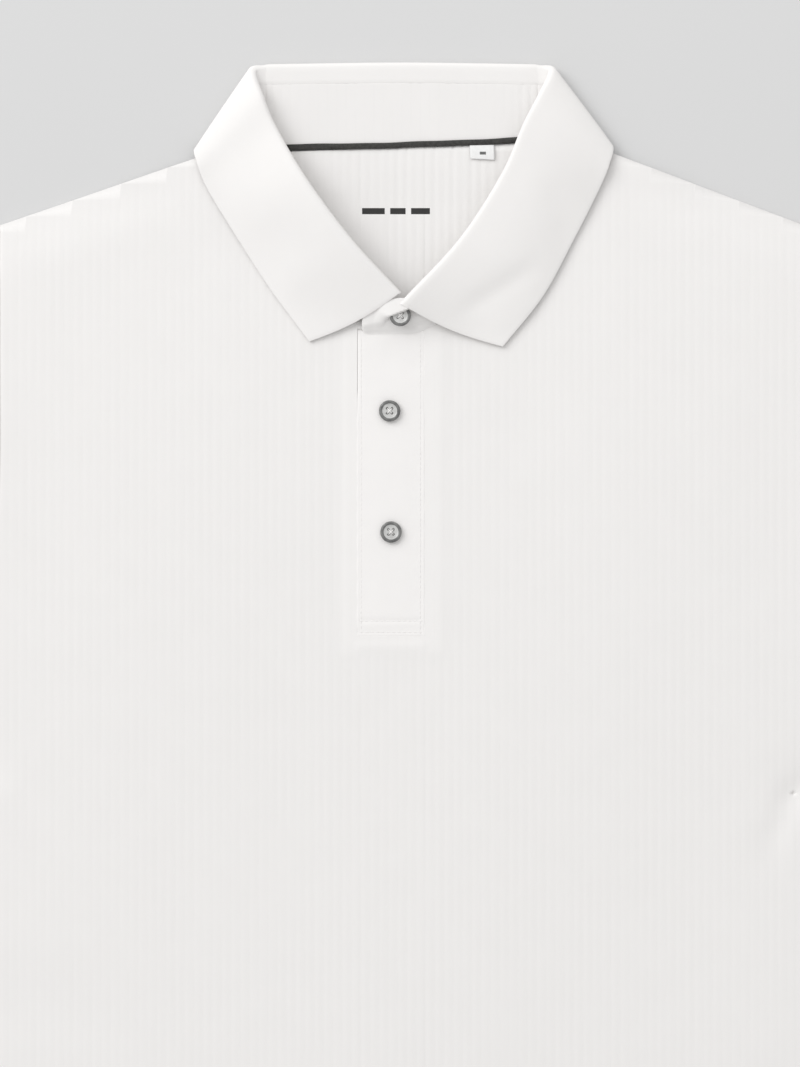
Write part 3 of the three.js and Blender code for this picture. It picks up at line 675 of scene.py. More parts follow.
def settle_stand_end(end, share):
    """The stand's end comes down onto the placket at its seam, with a few small creases."""
    x, y, z = end.transpose(2, 0, 1)
    rests_at = front_height(x, y, BAND_RISE) + CLOTH + 0.2 + COLLAR_CLOTH / 2
    rests_at = rests_at - END_SINK * ease(share, 0.8, 1.0)
    z = z + ease(share, 0.55, 0.97) * (rests_at - z)
    z = z - sum(trough(x, y, *row) for row in STAND_CREASES)
    return buttonhole_lip(x, y, z)


def stand_ends(rows, count):
    places = np.linspace(0, 1, count)
    top = spline([row["top"] for row in rows], places)
    seam = spline([row["seam"] for row in rows], places)
    return top, seam


def make_stand():
    at = np.linspace(0, 1, 441)
    rim, edge, seam, down, to_leaf, stand_start, to_seam = collar_frame(at)
    top = stand_start + to_seam * (INNER_STRIP + STAND_GAP)
    left_rows = STAND_END_LEFT + [dict(top=top[0], seam=seam[0])]
    right_rows = [dict(top=top[-1], seam=seam[-1])] + STAND_END_RIGHT
    left_top, left_seam = stand_ends(left_rows, 14)
    right_top, right_seam = stand_ends(right_rows, 91)
    all_top = np.vstack([left_top[:-1], top, right_top[1:]])
    all_seam = np.vstack([left_seam[:-1], seam, right_seam[1:]])
    share = np.linspace(0, 1, 41)[None, :, None]
    grid = all_top[:, None] * (1 - share) + all_seam[:, None] * share
    settled = settle_stand_end(grid[-140:], share[..., 0])
    begins = ease(np.arange(140), 0, 28)[:, None]
    grid[-140:, :, 2] += begins * (settled - grid[-140:, :, 2])
    round_neck = np.concatenate([[0], np.cumsum(np.linalg.norm(np.diff(all_seam, axis=0), axis=1))])
    place = np.concatenate([np.zeros(13), at, np.ones(90)])
    first, last = RIBBED_STAND
    ribbed = ease(place, first - 0.02, first) * (1 - ease(place, last, last + 0.02))
    u, v = np.meshgrid(round_neck, np.linspace(0, 32, 41), indexing="ij")
    grid[..., 2] += ribbed[:, None] * (rib_height(u, v, 12, INSIDE_RIB_RISE) - INSIDE_RIB_RISE / 2)
    piece = mesh_from_grid("collar_stand_cloth", grid, np.stack([u, v], -1))
    give_thickness(piece, COLLAR_CLOTH - 0.15, 0, round_edge=0.2)
    return piece


stand = make_stand()
print("collar stand:", len(stand.data.polygons), "faces")

# %% [markdown]
# The placket is a strip of smooth cloth folded on both long edges and stitched down, with a
# stitched box at its foot. Its edges are soft folds, so the strip's section is round there, and
# each line of stitching presses a shallow channel into it. It waves slightly over the slit.

# %% Placket
PLACKET_THICK = 1.2
EDGE_ROUND, FOOT_ROUND, TOP_ROUND = 0.9, 2.2, 3.2
EDGE_START, EDGE_LAP, OPEN_FOLD = 0.75, 0.42, 0.72
BOX_TOP = PLACKET_FOOT + 8.5
EDGE_STITCH = 2.2
PLACKET_HOLLOW = (-14, -117, 12, -127, 8.0, 0.45)


def placket_relief(x, y):
    """The top face of the strip above its lower face."""
    edge = PLACKET_HALF - np.abs(x - PLACKET_X)
    foot = y - PLACKET_FOOT
    edge_round = EDGE_ROUND + (TOP_ROUND - EDGE_ROUND) * ease(y, -156, -136)
    fold = np.sqrt(1 - (1 - np.clip(np.minimum(edge / edge_round, foot / FOOT_ROUND), 0, 1)) ** 2)
    edge_lines = np.exp(-((edge - EDGE_STITCH) / 0.6) ** 2) + np.exp(-((foot - EDGE_STITCH) / 0.6) ** 2)
    box_line = np.exp(-((y - BOX_TOP) / 1.2) ** 2) * ease(edge, 1, 4)
    pucker = 0.04 * np.sin(y / 2.1) * np.exp(-(edge / 6) ** 2)
    crown = 0.2 * ease(np.minimum(edge, foot), 2, 14)
    box_dip = 0.16 * np.exp(-((foot - 3.4 - 0.03 * (x - PLACKET_X)) / 1.8) ** 2)
    pressed = 0.06 * edge_lines + 0.26 * box_line + box_dip + trough(x, y, *PLACKET_HOLLOW)
    return EDGE_START + (PLACKET_THICK - EDGE_START) * fold + pucker + crown - pressed


def placket_lower(x, y):
    """The strip lies in the pressed place of the front, and follows its swell."""
    return front_height(x, y, BAND_RISE * over_band(x, y) - RECESS) + CLOTH + 0.05


def make_placket_top():
    edge_steps = np.array([0, 0.07, 0.17, 0.35, 0.6, 0.9, 1.3, 1.6, 1.9, 2.2, 2.5, 2.8, 3.2])
    middle = np.linspace(4.2, 2 * PLACKET_HALF - 4.2, 26)
    across = np.concatenate([edge_steps, middle, 2 * PLACKET_HALF - edge_steps[::-1]])
    box_steps = BOX_TOP - PLACKET_FOOT + np.array([-1.6, -0.8, 0, 0.8, 1.6])
    length = PLACKET_TOP - PLACKET_FOOT
    upward = np.concatenate([edge_steps, [4.5, 5.8], box_steps, np.arange(11.5, length, 1.0), [length]])
    x, y = np.meshgrid(PLACKET_X - PLACKET_HALF + across, PLACKET_FOOT + upward)
    low = placket_lower(x, y)
    height = low + placket_relief(x, y)
    wider = EDGE_LAP - OPEN_FOLD * ease(y, -152, -136) * (x < PLACKET_X)
    x = x + (x - PLACKET_X) / PLACKET_HALF * wider
    y = y - EDGE_LAP * (1 - ease(y - PLACKET_FOOT, 0, 6))
    top = np.stack([x, y, height], -1)
    under = np.stack([x, y, low], -1)
    piece = mesh_from_grid("placket_cloth", top, np.stack([x, y], -1))
    close_below(piece, top, under)
    return piece


def close_below(piece, top, under):
    """Adds the lower face and the rim of a strip whose two faces were worked out apart."""
    index, quads = grid_quads(*top.shape[:2])
    quads = quads.reshape(-1, 4)
    below = quads[:, ::-1] + index.size
    loop = np.concatenate([index[0, :-1], index[:-1, -1], index[-1, :0:-1], index[:0:-1, 0]])
    after = np.roll(loop, -1)
    rim = np.stack([loop, loop + index.size, after + index.size, after], -1)
    mesh = bpy.data.meshes.new(piece.name)
    points = to_row(np.concatenate([top.reshape(-1, 3), under.reshape(-1, 3)]))
    mesh.from_pydata(points, [], np.concatenate([quads, below, rim]).tolist())
    lay_uv(mesh, np.concatenate([top[..., :2].reshape(-1, 2), under[..., :2].reshape(-1, 2)]))
    piece.data = mesh
    for polygon in mesh.polygons:
        polygon.use_smooth = True


placket = make_placket_top()
print("placket:", len(placket.data.polygons), "faces, lies at",
      round(float(placket_lower(PLACKET_X, -200.0)), 2), "mm")

# %% [markdown]
# The under strip lies inside the shirt. It shows only as the paler band beside the placket,
# where the front cloth lies over its edge, and from the side through the slit.

# %% Under strip
UNDER_TOP, UNDER_THICK = -98.0, 1.1


def make_under_strip():
    low = float(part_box("placket_under")[0].z) / MM
    x, y = np.meshgrid(np.linspace(-BAND_HALF, BAND_HALF, 29) + BAND_X, np.linspace(BAND_FOOT, UNDER_TOP, 60))
    edge = np.minimum(BAND_HALF - np.abs(x - BAND_X), y - BAND_FOOT)
    height = UNDER_THICK * (0.5 + 0.5 * ease(edge, 0, 2.0))
    top = np.stack([x, y, low + height], -1)
    under = np.stack([x, y, np.full_like(x, low)], -1)
    piece = mesh_from_grid("placket_under_cloth", top, np.stack([x, y], -1))
    close_below(piece, top, under)
    return piece


under_strip = make_under_strip()

# %% [markdown]
# A black tape covers the back neck seam. It is a narrow woven ribbon, slightly rounded, sewn
# along both edges. The little size label is caught under it and lies on the back.

# %% Neck tape and label
TAPE_HALF, TAPE_WIDTH, TAPE_THICK = 76.0, 3.2, 0.9
LABEL_X, LABEL_WIDTH, LABEL_LENGTH = 44.0, 13.6, 8.2
LABEL_TILT = -0.05


def strip_along(name, centre, across, width, thick, z, steps_across):
    """A thin ribbon along a line of points, rounded over its width."""
    share = np.linspace(-0.5, 0.5, steps_across)
    flat = centre[:, None] + across[:, None] * share[None, :, None] * width
    crown = thick * (0.55 + 0.45 * np.cos(share * math.pi))
    top = np.dstack([flat, np.broadcast_to(z[:, None] + crown[None], flat.shape[:2])])
    under = np.dstack([flat, np.broadcast_to(z[:, None], flat.shape[:2])])
    piece = mesh_from_grid(name, top[:, ::-1], flat[:, ::-1])
    close_below(piece, top[:, ::-1], under[:, ::-1])
    return piece


def tape_y(x):
    """The neck seam runs in a shallow curve, higher at its right end."""
    return -2.45 + 0.03 * x + 0.00018 * x ** 2


def make_tape():
    x = np.linspace(-TAPE_HALF, TAPE_HALF, 120)
    wander = 0.12 * np.sin(x / 9) + 0.08 * np.sin(x / 4.3)
    centre = np.stack([x, tape_y(x) + wander], -1)
    across = np.tile([0.0, 1.0], (len(x), 1))
    base = np.full(len(x), float(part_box("neck_tape")[0].z) / MM)
    return strip_along("neck_tape_cloth", centre, across, TAPE_WIDTH, TAPE_THICK, base, 9)


def make_label():
    top_edge = tape_y(LABEL_X) - TAPE_WIDTH / 2 + 0.2
    down = np.linspace(0, LABEL_LENGTH, 24)
    centre = np.stack([LABEL_X + LABEL_TILT * down * -1, top_edge - down], -1)
    across = np.tile([math.cos(LABEL_TILT), math.sin(LABEL_TILT)], (len(down), 1))
    curl = 0.35 * np.sin(down / LABEL_LENGTH * math.pi) + 0.25 * (down / LABEL_LENGTH) ** 2
    base = float(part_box("size_label")[0].z) / MM + curl
    flat = centre[:, None] + across[:, None] * np.linspace(-0.5, 0.5, 15)[None, :, None] * LABEL_WIDTH
    top = np.dstack([flat, np.broadcast_to(base[:, None] + 0.45, flat.shape[:2])])
    under = np.dstack([flat, np.broadcast_to(base[:, None], flat.shape[:2])])
    piece = mesh_from_grid("size_label_cloth", top[::-1], flat[::-1])
    close_below(piece, top[::-1], under[::-1])
    return piece


tape, label = make_tape(), make_label()
print("tape", 2 * TAPE_HALF, "mm long, label", LABEL_WIDTH, "by", LABEL_LENGTH, "mm")

# %% [markdown]
# Each button is turned from a two-coloured sheet: a pale face, and a dark rim where the lathe
# cut through to the lower layer. A lathe profile spun round the axis is how it is really made,
# so that is done here too. Four holes are drilled through it with a boolean cut.

# %% Buttons
HOLE_RADIUS, HOLE_OUT = 0.7, 1.3
BUTTON_PROFILE = [
    (0, 0), (4.9, 0), (5.5, 0.25), (5.9, 0.8), (5.88, 1.5), (5.6, 1.95), (5.2, 2.15), (4.75, 2.2),
    (4.35, 2.1), (4.1, 1.9), (3.8, 1.72), (3.2, 1.64), (1.6, 1.6), (0, 1.6),
]
RIM_FROM = 4.15
BUTTONS = {"button_collar": (-1.0, -96.8), "button_upper": (-6.8, -149.0), "button_lower": (-6.05, -215.6)}
SHANK = 0.45


def turned_mesh(name, profile, sides):
    """Spins a profile of (radius, height) pairs round the Z axis."""
    work = bmesh.new()
    rings = []
    for radius, height in profile:
        if radius == 0:
            rings.append([work.verts.new((0, 0, height))])
            continue
        angles = np.linspace(0, 2 * math.pi, sides, endpoint=False)
        rings.append([work.verts.new((radius * math.cos(a), radius * math.sin(a), height)) for a in angles])
    for low, high in zip(rings, rings[1:]):
        for k in range(sides):
            after = (k + 1) % sides
            corners = [low[k % len(low)], low[after % len(low)], high[after % len(high)], high[k % len(high)]]
            work.faces.new(list(dict.fromkeys(corners)))
    bmesh.ops.recalc_face_normals(work, faces=work.faces)
    mesh = bpy.data.meshes.new(name)
    work.to_mesh(mesh)
    work.free()
    return mesh


def make_button_blank():
    blank = bpy.data.objects.new("button_blank", turned_mesh("button_blank", BUTTON_PROFILE, 72))
    shirt.objects.link(blank)
    drills = []
    for sx, sy in ((1, 1), (1, -1), (-1, 1), (-1, -1)):
        bore = turned_mesh("drill", [(0, -1), (HOLE_RADIUS, -1), (HOLE_RADIUS, 4), (0, 4)], 20)
        drill = bpy.data.objects.new("drill", bore)
        drill.location = (sx * HOLE_OUT, sy * HOLE_OUT, 0)
        shirt.objects.link(drill)
        cut = blank.modifiers.new("hole", "BOOLEAN")
        cut.operation, cut.solver, cut.object = "DIFFERENCE", "EXACT", drill
        drills.append(drill)
    bpy.context.view_layer.update()
    finish_mesh(blank)
    for drill in drills:
        bpy.data.objects.remove(drill)
    return blank


def button_base(node, x, y):
    """The collar button stands on the stand's end, the others on the placket with a short shank."""
    if node == "button_collar":
        return float(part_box(node)[0].z) / MM
    return float(placket_lower(x, y) + placket_relief(x, y)) + SHANK


def place_button(blank, node, x, y):
    mesh = blank.data.copy()
    mesh.name = node + "_turned"
    base = button_base(node, x, y)
    at = np.zeros(len(mesh.vertices) * 3)
    mesh.vertices.foreach_get("co", at)
    mesh.vertices.foreach_set("co", to_row(at.reshape(-1, 3) + np.array([x, y, base])).ravel())
    piece = bpy.data.objects.new(node + "_turned", mesh)
    shirt.objects.link(piece)
    return piece


blank = make_button_blank()
buttons = {node: place_button(blank, node, x, y) for node, (x, y) in BUTTONS.items()}
bpy.data.objects.remove(blank)
print("buttons:", list(buttons))

# %% [markdown]
# Materials come next. Cloth is matt, with a faint nap that brightens where it turns away, which
# the shader calls sheen. Its loops are too small for the mesh, so a bump pattern on the cloth's
# own UV map draws them: little Vs for the knit, and a plain weave for the collar's cloth.
# A helper keeps each node on one line, so that the recipe can be read from top to bottom.

# %% Helpers for materials
def new_finish(name, colour, roughness):
    finish = bpy.data.materials.new(name)
    finish.use_nodes = True
    shader = finish.node_tree.nodes["Principled BSDF"]
    shader.inputs["Base Color"].default_value = (*colour, 1)
    shader.inputs["Roughness"].default_value = roughness
    return finish, finish.node_tree, shader


def add(tree, kind, inputs, **settings):
    """Adds a node. inputs maps a socket to a number, a colour or another node's socket."""
    made = tree.nodes.new(kind)
    for key, value in settings.items():
        setattr(made, key, value)
    for key, value in inputs.items():
        if isinstance(value, bpy.types.NodeSocket):
            tree.links.new(value, made.inputs[key])
        else:
            made.inputs[key].default_value = value
    return made.outputs[0]


def sums(tree, operation, *values):
    return add(tree, "ShaderNodeMath", dict(enumerate(values)), operation=operation)


def cloth_place(tree):
    """The place on the cloth in centimetres: across the ribs, and along them."""
    place = add(tree, "ShaderNodeUVMap", {}, uv_map="cloth")
    split = tree.nodes.new("ShaderNodeSeparateXYZ")
    tree.links.new(place, split.inputs[0])
    return place, split.outputs[0], split.outputs[1]


def bump_up(tree, shader, height, strength, distance):
    bump = add(tree, "ShaderNodeBump", {"Strength": strength, "Distance": distance, "Height": height})
    normal = bump.node.outputs["Normal"]
    tree.links.new(normal, shader.inputs["Normal"])


def mottle(tree, place, dark, light, scale):
    """A cloth colour that wanders slightly between two shades."""
    noise = add(tree, "ShaderNodeTexNoise", {"Vector": place, "Scale": scale, "Detail": 3.0})
    ramp = tree.nodes.new("ShaderNodeValToRGB")
    ramp.color_ramp.elements[0].position, ramp.color_ramp.elements[1].position = 0.35, 0.65
    ramp.color_ramp.elements[0].color = (*dark, 1)
    ramp.color_ramp.elements[1].color = (*light, 1)
    tree.links.new(noise, ramp.inputs[0])
    return ramp.outputs[0]


def wear(piece, *finishes):
    piece.data.materials.clear()
    for finish in finishes:
        piece.data.materials.append(finish)


print("material helpers ready")

# %% [markdown]
# The knit is white cotton. Its wales run along the ribs, fourteen to a centimetre, and each loop
# is a small V. Chevron lines make them: a wave along the cloth, delayed by the distance from
# the middle of the wale. The ribs' grooves are a little darker in colour, as painted shade. Thin
# white knit also takes on a little of what lies under it, so the front is lighter over the under
# strip. The back's knit is painted darker low in the neck opening, as painted shade from the collar.

# %% Ribbed knit
WALES, COURSES = 14.0, 18.0
KNIT_LIGHT, KNIT_DARK = (0.838, 0.823, 0.811), (0.831, 0.816, 0.804)
# The second number darkens the back's knit low in the neck opening: painted shade from the collar.
BACKED_LIGHTER, NECK_PAINTED_SHADE = 0.025, 0.035
# Painted shade: how much darker the knit's colour is in the ribs' grooves.
GROOVE_PAINTED_SHADE = 0.012
PRINT_BARS = [(-2.2, -0.95), (-0.65, 0.2), (0.5, 1.54)]
PRINT_FOOT, PRINT_TOP = -4.04, -3.7


def loops_height(tree, across, along, wales, courses):
    wale = sums(tree, "FRACT", sums(tree, "MULTIPLY", across, wales))
    from_middle = sums(tree, "ABSOLUTE", sums(tree, "SUBTRACT", wale, 0.5))
    course = sums(tree, "MULTIPLY", along, courses)
    delayed = sums(tree, "ADD", course, sums(tree, "MULTIPLY", from_middle, 1.3))
    turned = sums(tree, "MULTIPLY", delayed, 2 * math.pi)
    loop = sums(tree, "MULTIPLY", sums(tree, "ADD", sums(tree, "SINE", turned), 1.0), 0.5)
    crest = sums(tree, "SUBTRACT", 1.0, sums(tree, "MULTIPLY", from_middle, from_middle))
    return sums(tree, "MULTIPLY", loop, crest)


def painted_groove_mask(tree, across, along):
    """Painted shade: 1 in the grooves between ribs, in ragged dashes, and 0 elsewhere. Pitch in centimetres.
    """
    rib = sums(tree, "DIVIDE", across, RIB_PITCH / 10)
    from_groove = sums(tree, "ABSOLUTE", sums(tree, "SUBTRACT", sums(tree, "FRACT", rib), 0.5))
    beside = sums(tree, "SMOOTH_MIN", sums(tree, "MULTIPLY", from_groove, 7.0), 1.0, 0.2)
    line = sums(tree, "SUBTRACT", 1.0, beside)
    place = tree.nodes.new("ShaderNodeCombineXYZ")
    tree.links.new(sums(tree, "MULTIPLY", sums(tree, "FLOOR", rib), 7.31), place.inputs[0])
    tree.links.new(sums(tree, "MULTIPLY", along, 0.55), place.inputs[1])
    chance = add(tree, "ShaderNodeTexNoise", {"Vector": place.outputs[0], "Scale": 1.0, "Detail": 4.0})
    dash = tree.nodes.new("ShaderNodeMapRange")
    dash.inputs["From Min"].default_value, dash.inputs["From Max"].default_value = 0.40, 0.56
    tree.links.new(chance, dash.inputs["Value"])
    return sums(tree, "MAXIMUM", sums(tree, "MULTIPLY", line, dash.outputs[0]), 0.0)


def within(tree, value, low, high):
    """1 between low and high, 0 outside."""
    above = sums(tree, "GREATER_THAN", value, low)
    return sums(tree, "MULTIPLY", above, sums(tree, "LESS_THAN", value, high))


def plain_bars(tree, across, along):
    """The small print inside the neck is a row of plain dark bars."""
    rows = [within(tree, across, left, right) for left, right in PRINT_BARS]
    any_bar = sums(tree, "ADD", sums(tree, "ADD", rows[0], rows[1]), rows[2])
    return sums(tree, "MULTIPLY", any_bar, within(tree, along, PRINT_FOOT, PRINT_TOP))


def over_backing(tree, across, along):
    """1 where the front's knit lies over the under strip, easing to 0 around it."""
    away = sums(tree, "ABSOLUTE", sums(tree, "SUBTRACT", across, BAND_X / 10))
    sideways = add(tree, "ShaderNodeMapRange", {"Value": away, "From Min": BAND_HALF / 10 + 0.15,
                                                "From Max": BAND_HALF / 10 - 0.15})
    lengthways = add(tree, "ShaderNodeMapRange", {"Value": along, "From Min": BAND_FOOT / 10 - 0.3,
                                                  "From Max": BAND_FOOT / 10 + 0.2})
    return sums(tree, "MULTIPLY", sideways, lengthways)


def painted_neck_shade(tree, across, along):
    """Painted shade: -1 low in the neck opening, easing to 0 above."""
    lower = add(tree, "ShaderNodeMapRange", {"Value": along, "From Min": -3.5, "From Max": -8.5})
    return sums(tree, "MULTIPLY", lower, -1.0)


def ribbed_knit(name, backing_and_painted_shade=None, strength=0.0):
    """The knit. An optional mask, times strength, makes it lighter over a layer beneath or darker as painted
    shade.
    """
    finish, tree, shader = new_finish(name, KNIT_LIGHT, 0.92)
    place, across, along = cloth_place(tree)
    shade = mottle(tree, place, KNIT_DARK, KNIT_LIGHT, 0.5)
    # The ribs' grooves are darkened in the colour: painted shade.
    line = painted_groove_mask(tree, across, along)
    darker = sums(tree, "SUBTRACT", 1.0, sums(tree, "MULTIPLY", line, GROOVE_PAINTED_SHADE))
    ink = sums(tree, "MULTIPLY", plain_bars(tree, across, along), 0.95)
    darker = sums(tree, "MULTIPLY", darker, sums(tree, "SUBTRACT", 1.0, ink))
    # A positive mask lightens the knit over a layer beneath; a negative one darkens it as painted shade.
    if backing_and_painted_shade:
        seen = sums(tree, "MULTIPLY", backing_and_painted_shade(tree, across, along), strength)
        darker = sums(tree, "MULTIPLY", darker, sums(tree, "ADD", 1.0, seen))
    tinted = tree.nodes.new("ShaderNodeVectorMath")
    tinted.operation = "SCALE"
    tree.links.new(shade, tinted.inputs[0])
    tree.links.new(darker, tinted.inputs["Scale"])
    tree.links.new(tinted.outputs[0], shader.inputs["Base Color"])
    bump_up(tree, shader, loops_height(tree, across, along, WALES, COURSES), 0.12, 0.0002)
    shader.inputs["Sheen Weight"].default_value = 0.12
    shader.inputs["Sheen Roughness"].default_value = 0.6
    shader.inputs["Specular IOR Level"].default_value = 0.2
    return finish


knit = ribbed_knit("ribbed_knit")
for piece in (stand, *sleeves.values()):
    wear(piece, knit)
wear(front, ribbed_knit("ribbed_knit_front", over_backing, BACKED_LIGHTER))
# The back's knit gets painted shade low in the neck opening.
wear(back, ribbed_knit("ribbed_knit_back", painted_neck_shade, NECK_PAINTED_SHADE))
print("ribbed knit on", 3 + len(sleeves), "pieces")

# %% [markdown]
# The collar leaf, placket and under strip are of a smoother, tighter cloth with a fine weave.

# %% Smooth cloth
LEAF_LIGHT, LEAF_DARK = (0.864, 0.848, 0.835), (0.854, 0.838, 0.825)
STRIP_LIGHT, STRIP_DARK = (0.886, 0.869, 0.857), (0.877, 0.860, 0.848)


def smooth_cloth(name, light, dark):
    finish, tree, shader = new_finish(name, light, 0.9)
    place, across, along = cloth_place(tree)
    tree.links.new(mottle(tree, place, dark, light, 0.4), shader.inputs["Base Color"])
    warp = sums(tree, "SINE", sums(tree, "MULTIPLY", across, 2 * math.pi * 16))
    weft = sums(tree, "SINE", sums(tree, "MULTIPLY", along, 2 * math.pi * 16))
    bump_up(tree, shader, sums(tree, "MULTIPLY", warp, weft), 0.25, 0.00015)
    shader.inputs["Sheen Weight"].default_value = 0.1
    shader.inputs["Sheen Roughness"].default_value = 0.6
    shader.inputs["Specular IOR Level"].default_value = 0.25
    return finish


wear(leaf, smooth_cloth("collar_cloth", LEAF_LIGHT, LEAF_DARK))
strip_cloth = smooth_cloth("placket_cloth", STRIP_LIGHT, STRIP_DARK)
for piece in (placket, under_strip):
    wear(piece, strip_cloth)
print("smooth cloth on", 3, "pieces")

# %% [markdown]
# The neck tape is a black twill ribbon and the label a dense white satin.

# %% Tape and label cloth
def tape_cloth():
    finish, tree, shader = new_finish("black_tape", (0.036, 0.035, 0.031), 0.8)
    place, across, along = cloth_place(tree)
    slanted = sums(tree, "ADD", sums(tree, "MULTIPLY", across, 9.0), sums(tree, "MULTIPLY", along, 14.0))
    twill = sums(tree, "SINE", sums(tree, "MULTIPLY", slanted, 2 * math.pi))
    black = mottle(tree, place, (0.026, 0.025, 0.023), (0.05, 0.049, 0.045), 6.0)
    tree.links.new(black, shader.inputs["Base Color"])
    bump_up(tree, shader, twill, 0.5, 0.0002)
    shader.inputs["Sheen Weight"].default_value = 0.15
    return finish


LABEL_MARK = (4.28, 4.62), (-0.78, -0.62)


def label_cloth():
    finish, tree, shader = new_finish("label_cloth", (0.87, 0.868, 0.862), 0.6)
    place, across, along = cloth_place(tree)
    fine = sums(tree, "SINE", sums(tree, "MULTIPLY", along, 2 * math.pi * 30))
    bump_up(tree, shader, fine, 0.3, 0.0001)
    satin = mottle(tree, place, (0.84, 0.838, 0.832), (0.88, 0.878, 0.872), 5.0)
    mark = sums(tree, "MULTIPLY", within(tree, across, *LABEL_MARK[0]), within(tree, along, *LABEL_MARK[1]))
    tinted = tree.nodes.new("ShaderNodeVectorMath")
    tinted.operation = "SCALE"
    tree.links.new(satin, tinted.inputs[0])
    tree.links.new(sums(tree, "SUBTRACT", 1.0, sums(tree, "MULTIPLY", mark, 0.85)), tinted.inputs["Scale"])
    tree.links.new(tinted.outputs[0], shader.inputs["Base Color"])
    return finish


wear(tape, tape_cloth())
wear(label, label_cloth())
print("tape and label dressed")

# %% [markdown]
# The buttons are cast resin with a pearly grey face and a darker rim. A sheet of two colours
# shows the second one where the lathe cuts deeper, so here the faces of the mesh beyond a
# radius take the rim's material.

# %% Button resin
def button_resin(name, dark, light, roughness):
    finish, tree, shader = new_finish(name, light, roughness)
    place = add(tree, "ShaderNodeTexCoord", {}).node.outputs["Object"]
    tree.links.new(mottle(tree, place, dark, light, 300.0), shader.inputs["Base Color"])
    shader.inputs["Coat Weight"].default_value = 0.3
    shader.inputs["Coat Roughness"].default_value = 0.15
    return finish


face_resin = button_resin("button_face_resin", (0.50, 0.50, 0.49), (0.62, 0.62, 0.61), 0.35)
rim_resin = button_resin("button_rim_resin", (0.10, 0.10, 0.10), (0.20, 0.20, 0.195), 0.3)
for node, piece in buttons.items():
    wear(piece, face_resin, rim_resin)
    centre = to_row(np.array([*BUTTONS[node], 0.0]))
    for polygon in piece.data.polygons:
        away = math.hypot(polygon.center.x - centre[0], polygon.center.y - centre[1]) / MM
        polygon.material_index = 1 if away > RIM_FROM else 0
        polygon.use_smooth = True
print("buttons finished in two resins")

# %% [markdown]
# Lock stitches hold the hems and the placket. On the real shirt a machine lays them along a
# drawn line, so Geometry Nodes do the same here: a line of points becomes a curve, and one small
# stitch is set on it at each step. Pitch, length and width are the tree's named inputs, and the
# thread is its material. The buttons are sewn on with strands of it, hole to hole, as thin tubes.

# %% Thread, stitches and button strands
STITCH_PITCH, STITCH_LENGTH, STITCH_WIDTH = 2.8, 2.2, 0.34
STRAND_WIDTH = 0.55


def white_thread():
    finish, tree, shader = new_finish("white_thread", (0.86, 0.845, 0.835), 0.75)
    place = add(tree, "ShaderNodeTexCoord", {}).node.outputs["Object"]
    twist = add(tree, "ShaderNodeTexNoise", {"Vector": place, "Scale": 2500.0, "Detail": 1.0})
    bump_up(tree, shader, twist, 0.3, 0.0001)
    shader.inputs["Sheen Weight"].default_value = 0.2
    return finish


def new_tree(name, sizes):
    """A tree that takes geometry and named sizes in millimetres, and gives geometry."""
    tree = bpy.data.node_groups.new(name, "GeometryNodeTree")
    tree.interface.new_socket("Geometry", in_out="INPUT", socket_type="NodeSocketGeometry")
    for key in sizes:
        tree.interface.new_socket(key, in_out="INPUT", socket_type="NodeSocketFloat")
    tree.interface.new_socket("Geometry", in_out="OUTPUT", socket_type="NodeSocketGeometry")
    return tree, tree.nodes.new("NodeGroupInput").outputs, tree.nodes.new("NodeGroupOutput").inputs


def run_tree(piece, tree, sizes):
    step = piece.modifiers.new("thread", "NODES")
    step.node_group = tree
    for item in tree.interface.items_tree:
        if item.in_out == "INPUT" and item.name in sizes:
            step[item.identifier] = sizes[item.name] * MM
    finish_mesh(piece)


def stitch_tree(thread, sizes):
    tree, given, result = new_tree("stitches along a line", sizes)
    path = add(tree, "GeometryNodeMeshToCurve", {"Mesh": given["Geometry"]})
    places = add(tree, "GeometryNodeCurveToPoints", {"Curve": path, "Length": given["Pitch"]}, mode="LENGTH")
    ball = add(tree, "GeometryNodeMeshUVSphere", {"Segments": 6, "Rings": 4, "Radius": 0.5})
    size = add(tree, "ShaderNodeCombineXYZ", {"X": given["Width"], "Y": given["Width"], "Z": given["Length"]})
    stitch = add(tree, "GeometryNodeTransform", {"Geometry": ball, "Scale": size})
    turn = places.node.outputs["Rotation"]
    sewn = add(tree, "GeometryNodeInstanceOnPoints", {"Points": places, "Instance": stitch, "Rotation": turn})
    real = add(tree, "GeometryNodeRealizeInstances", {"Geometry": sewn})
    tree.links.new(add(tree, "GeometryNodeSetMaterial", {"Geometry": real, "Material": thread}), result[0])
    return tree


def strand_tree(thread, sizes):
    tree, given, result = new_tree("strands along a line", sizes)
    path = add(tree, "GeometryNodeMeshToCurve", {"Mesh": given["Geometry"]})
    half = sums(tree, "MULTIPLY", given["Width"], 0.5)
    ring = add(tree, "GeometryNodeCurvePrimitiveCircle", {"Resolution": 8, "Radius": half})
    tube = add(tree, "GeometryNodeCurveToMesh", {"Curve": path, "Profile Curve": ring, "Fill Caps": True})
    real = add(tree, "GeometryNodeRealizeInstances", {"Geometry": tube})
    tree.links.new(add(tree, "GeometryNodeSetMaterial", {"Geometry": real, "Material": thread}), result[0])
    return tree


def lines_object(name, lines):
    """Open lines of points in millimetres, as one object of bare edges."""
    points, edges = [], []
    for line in lines:
        edges += [(len(points) + k, len(points) + k + 1) for k in range(len(line) - 1)]
        points += to_row(line).tolist()
    mesh = bpy.data.meshes.new(name)
    mesh.from_pydata(points, edges, [])
    piece = bpy.data.objects.new(name, mesh)
    shirt.objects.link(piece)
    return piece


def on_placket(x, y):
    return np.stack([x, y, placket_lower(x, y) + placket_relief(x, y) + 0.05], -1)


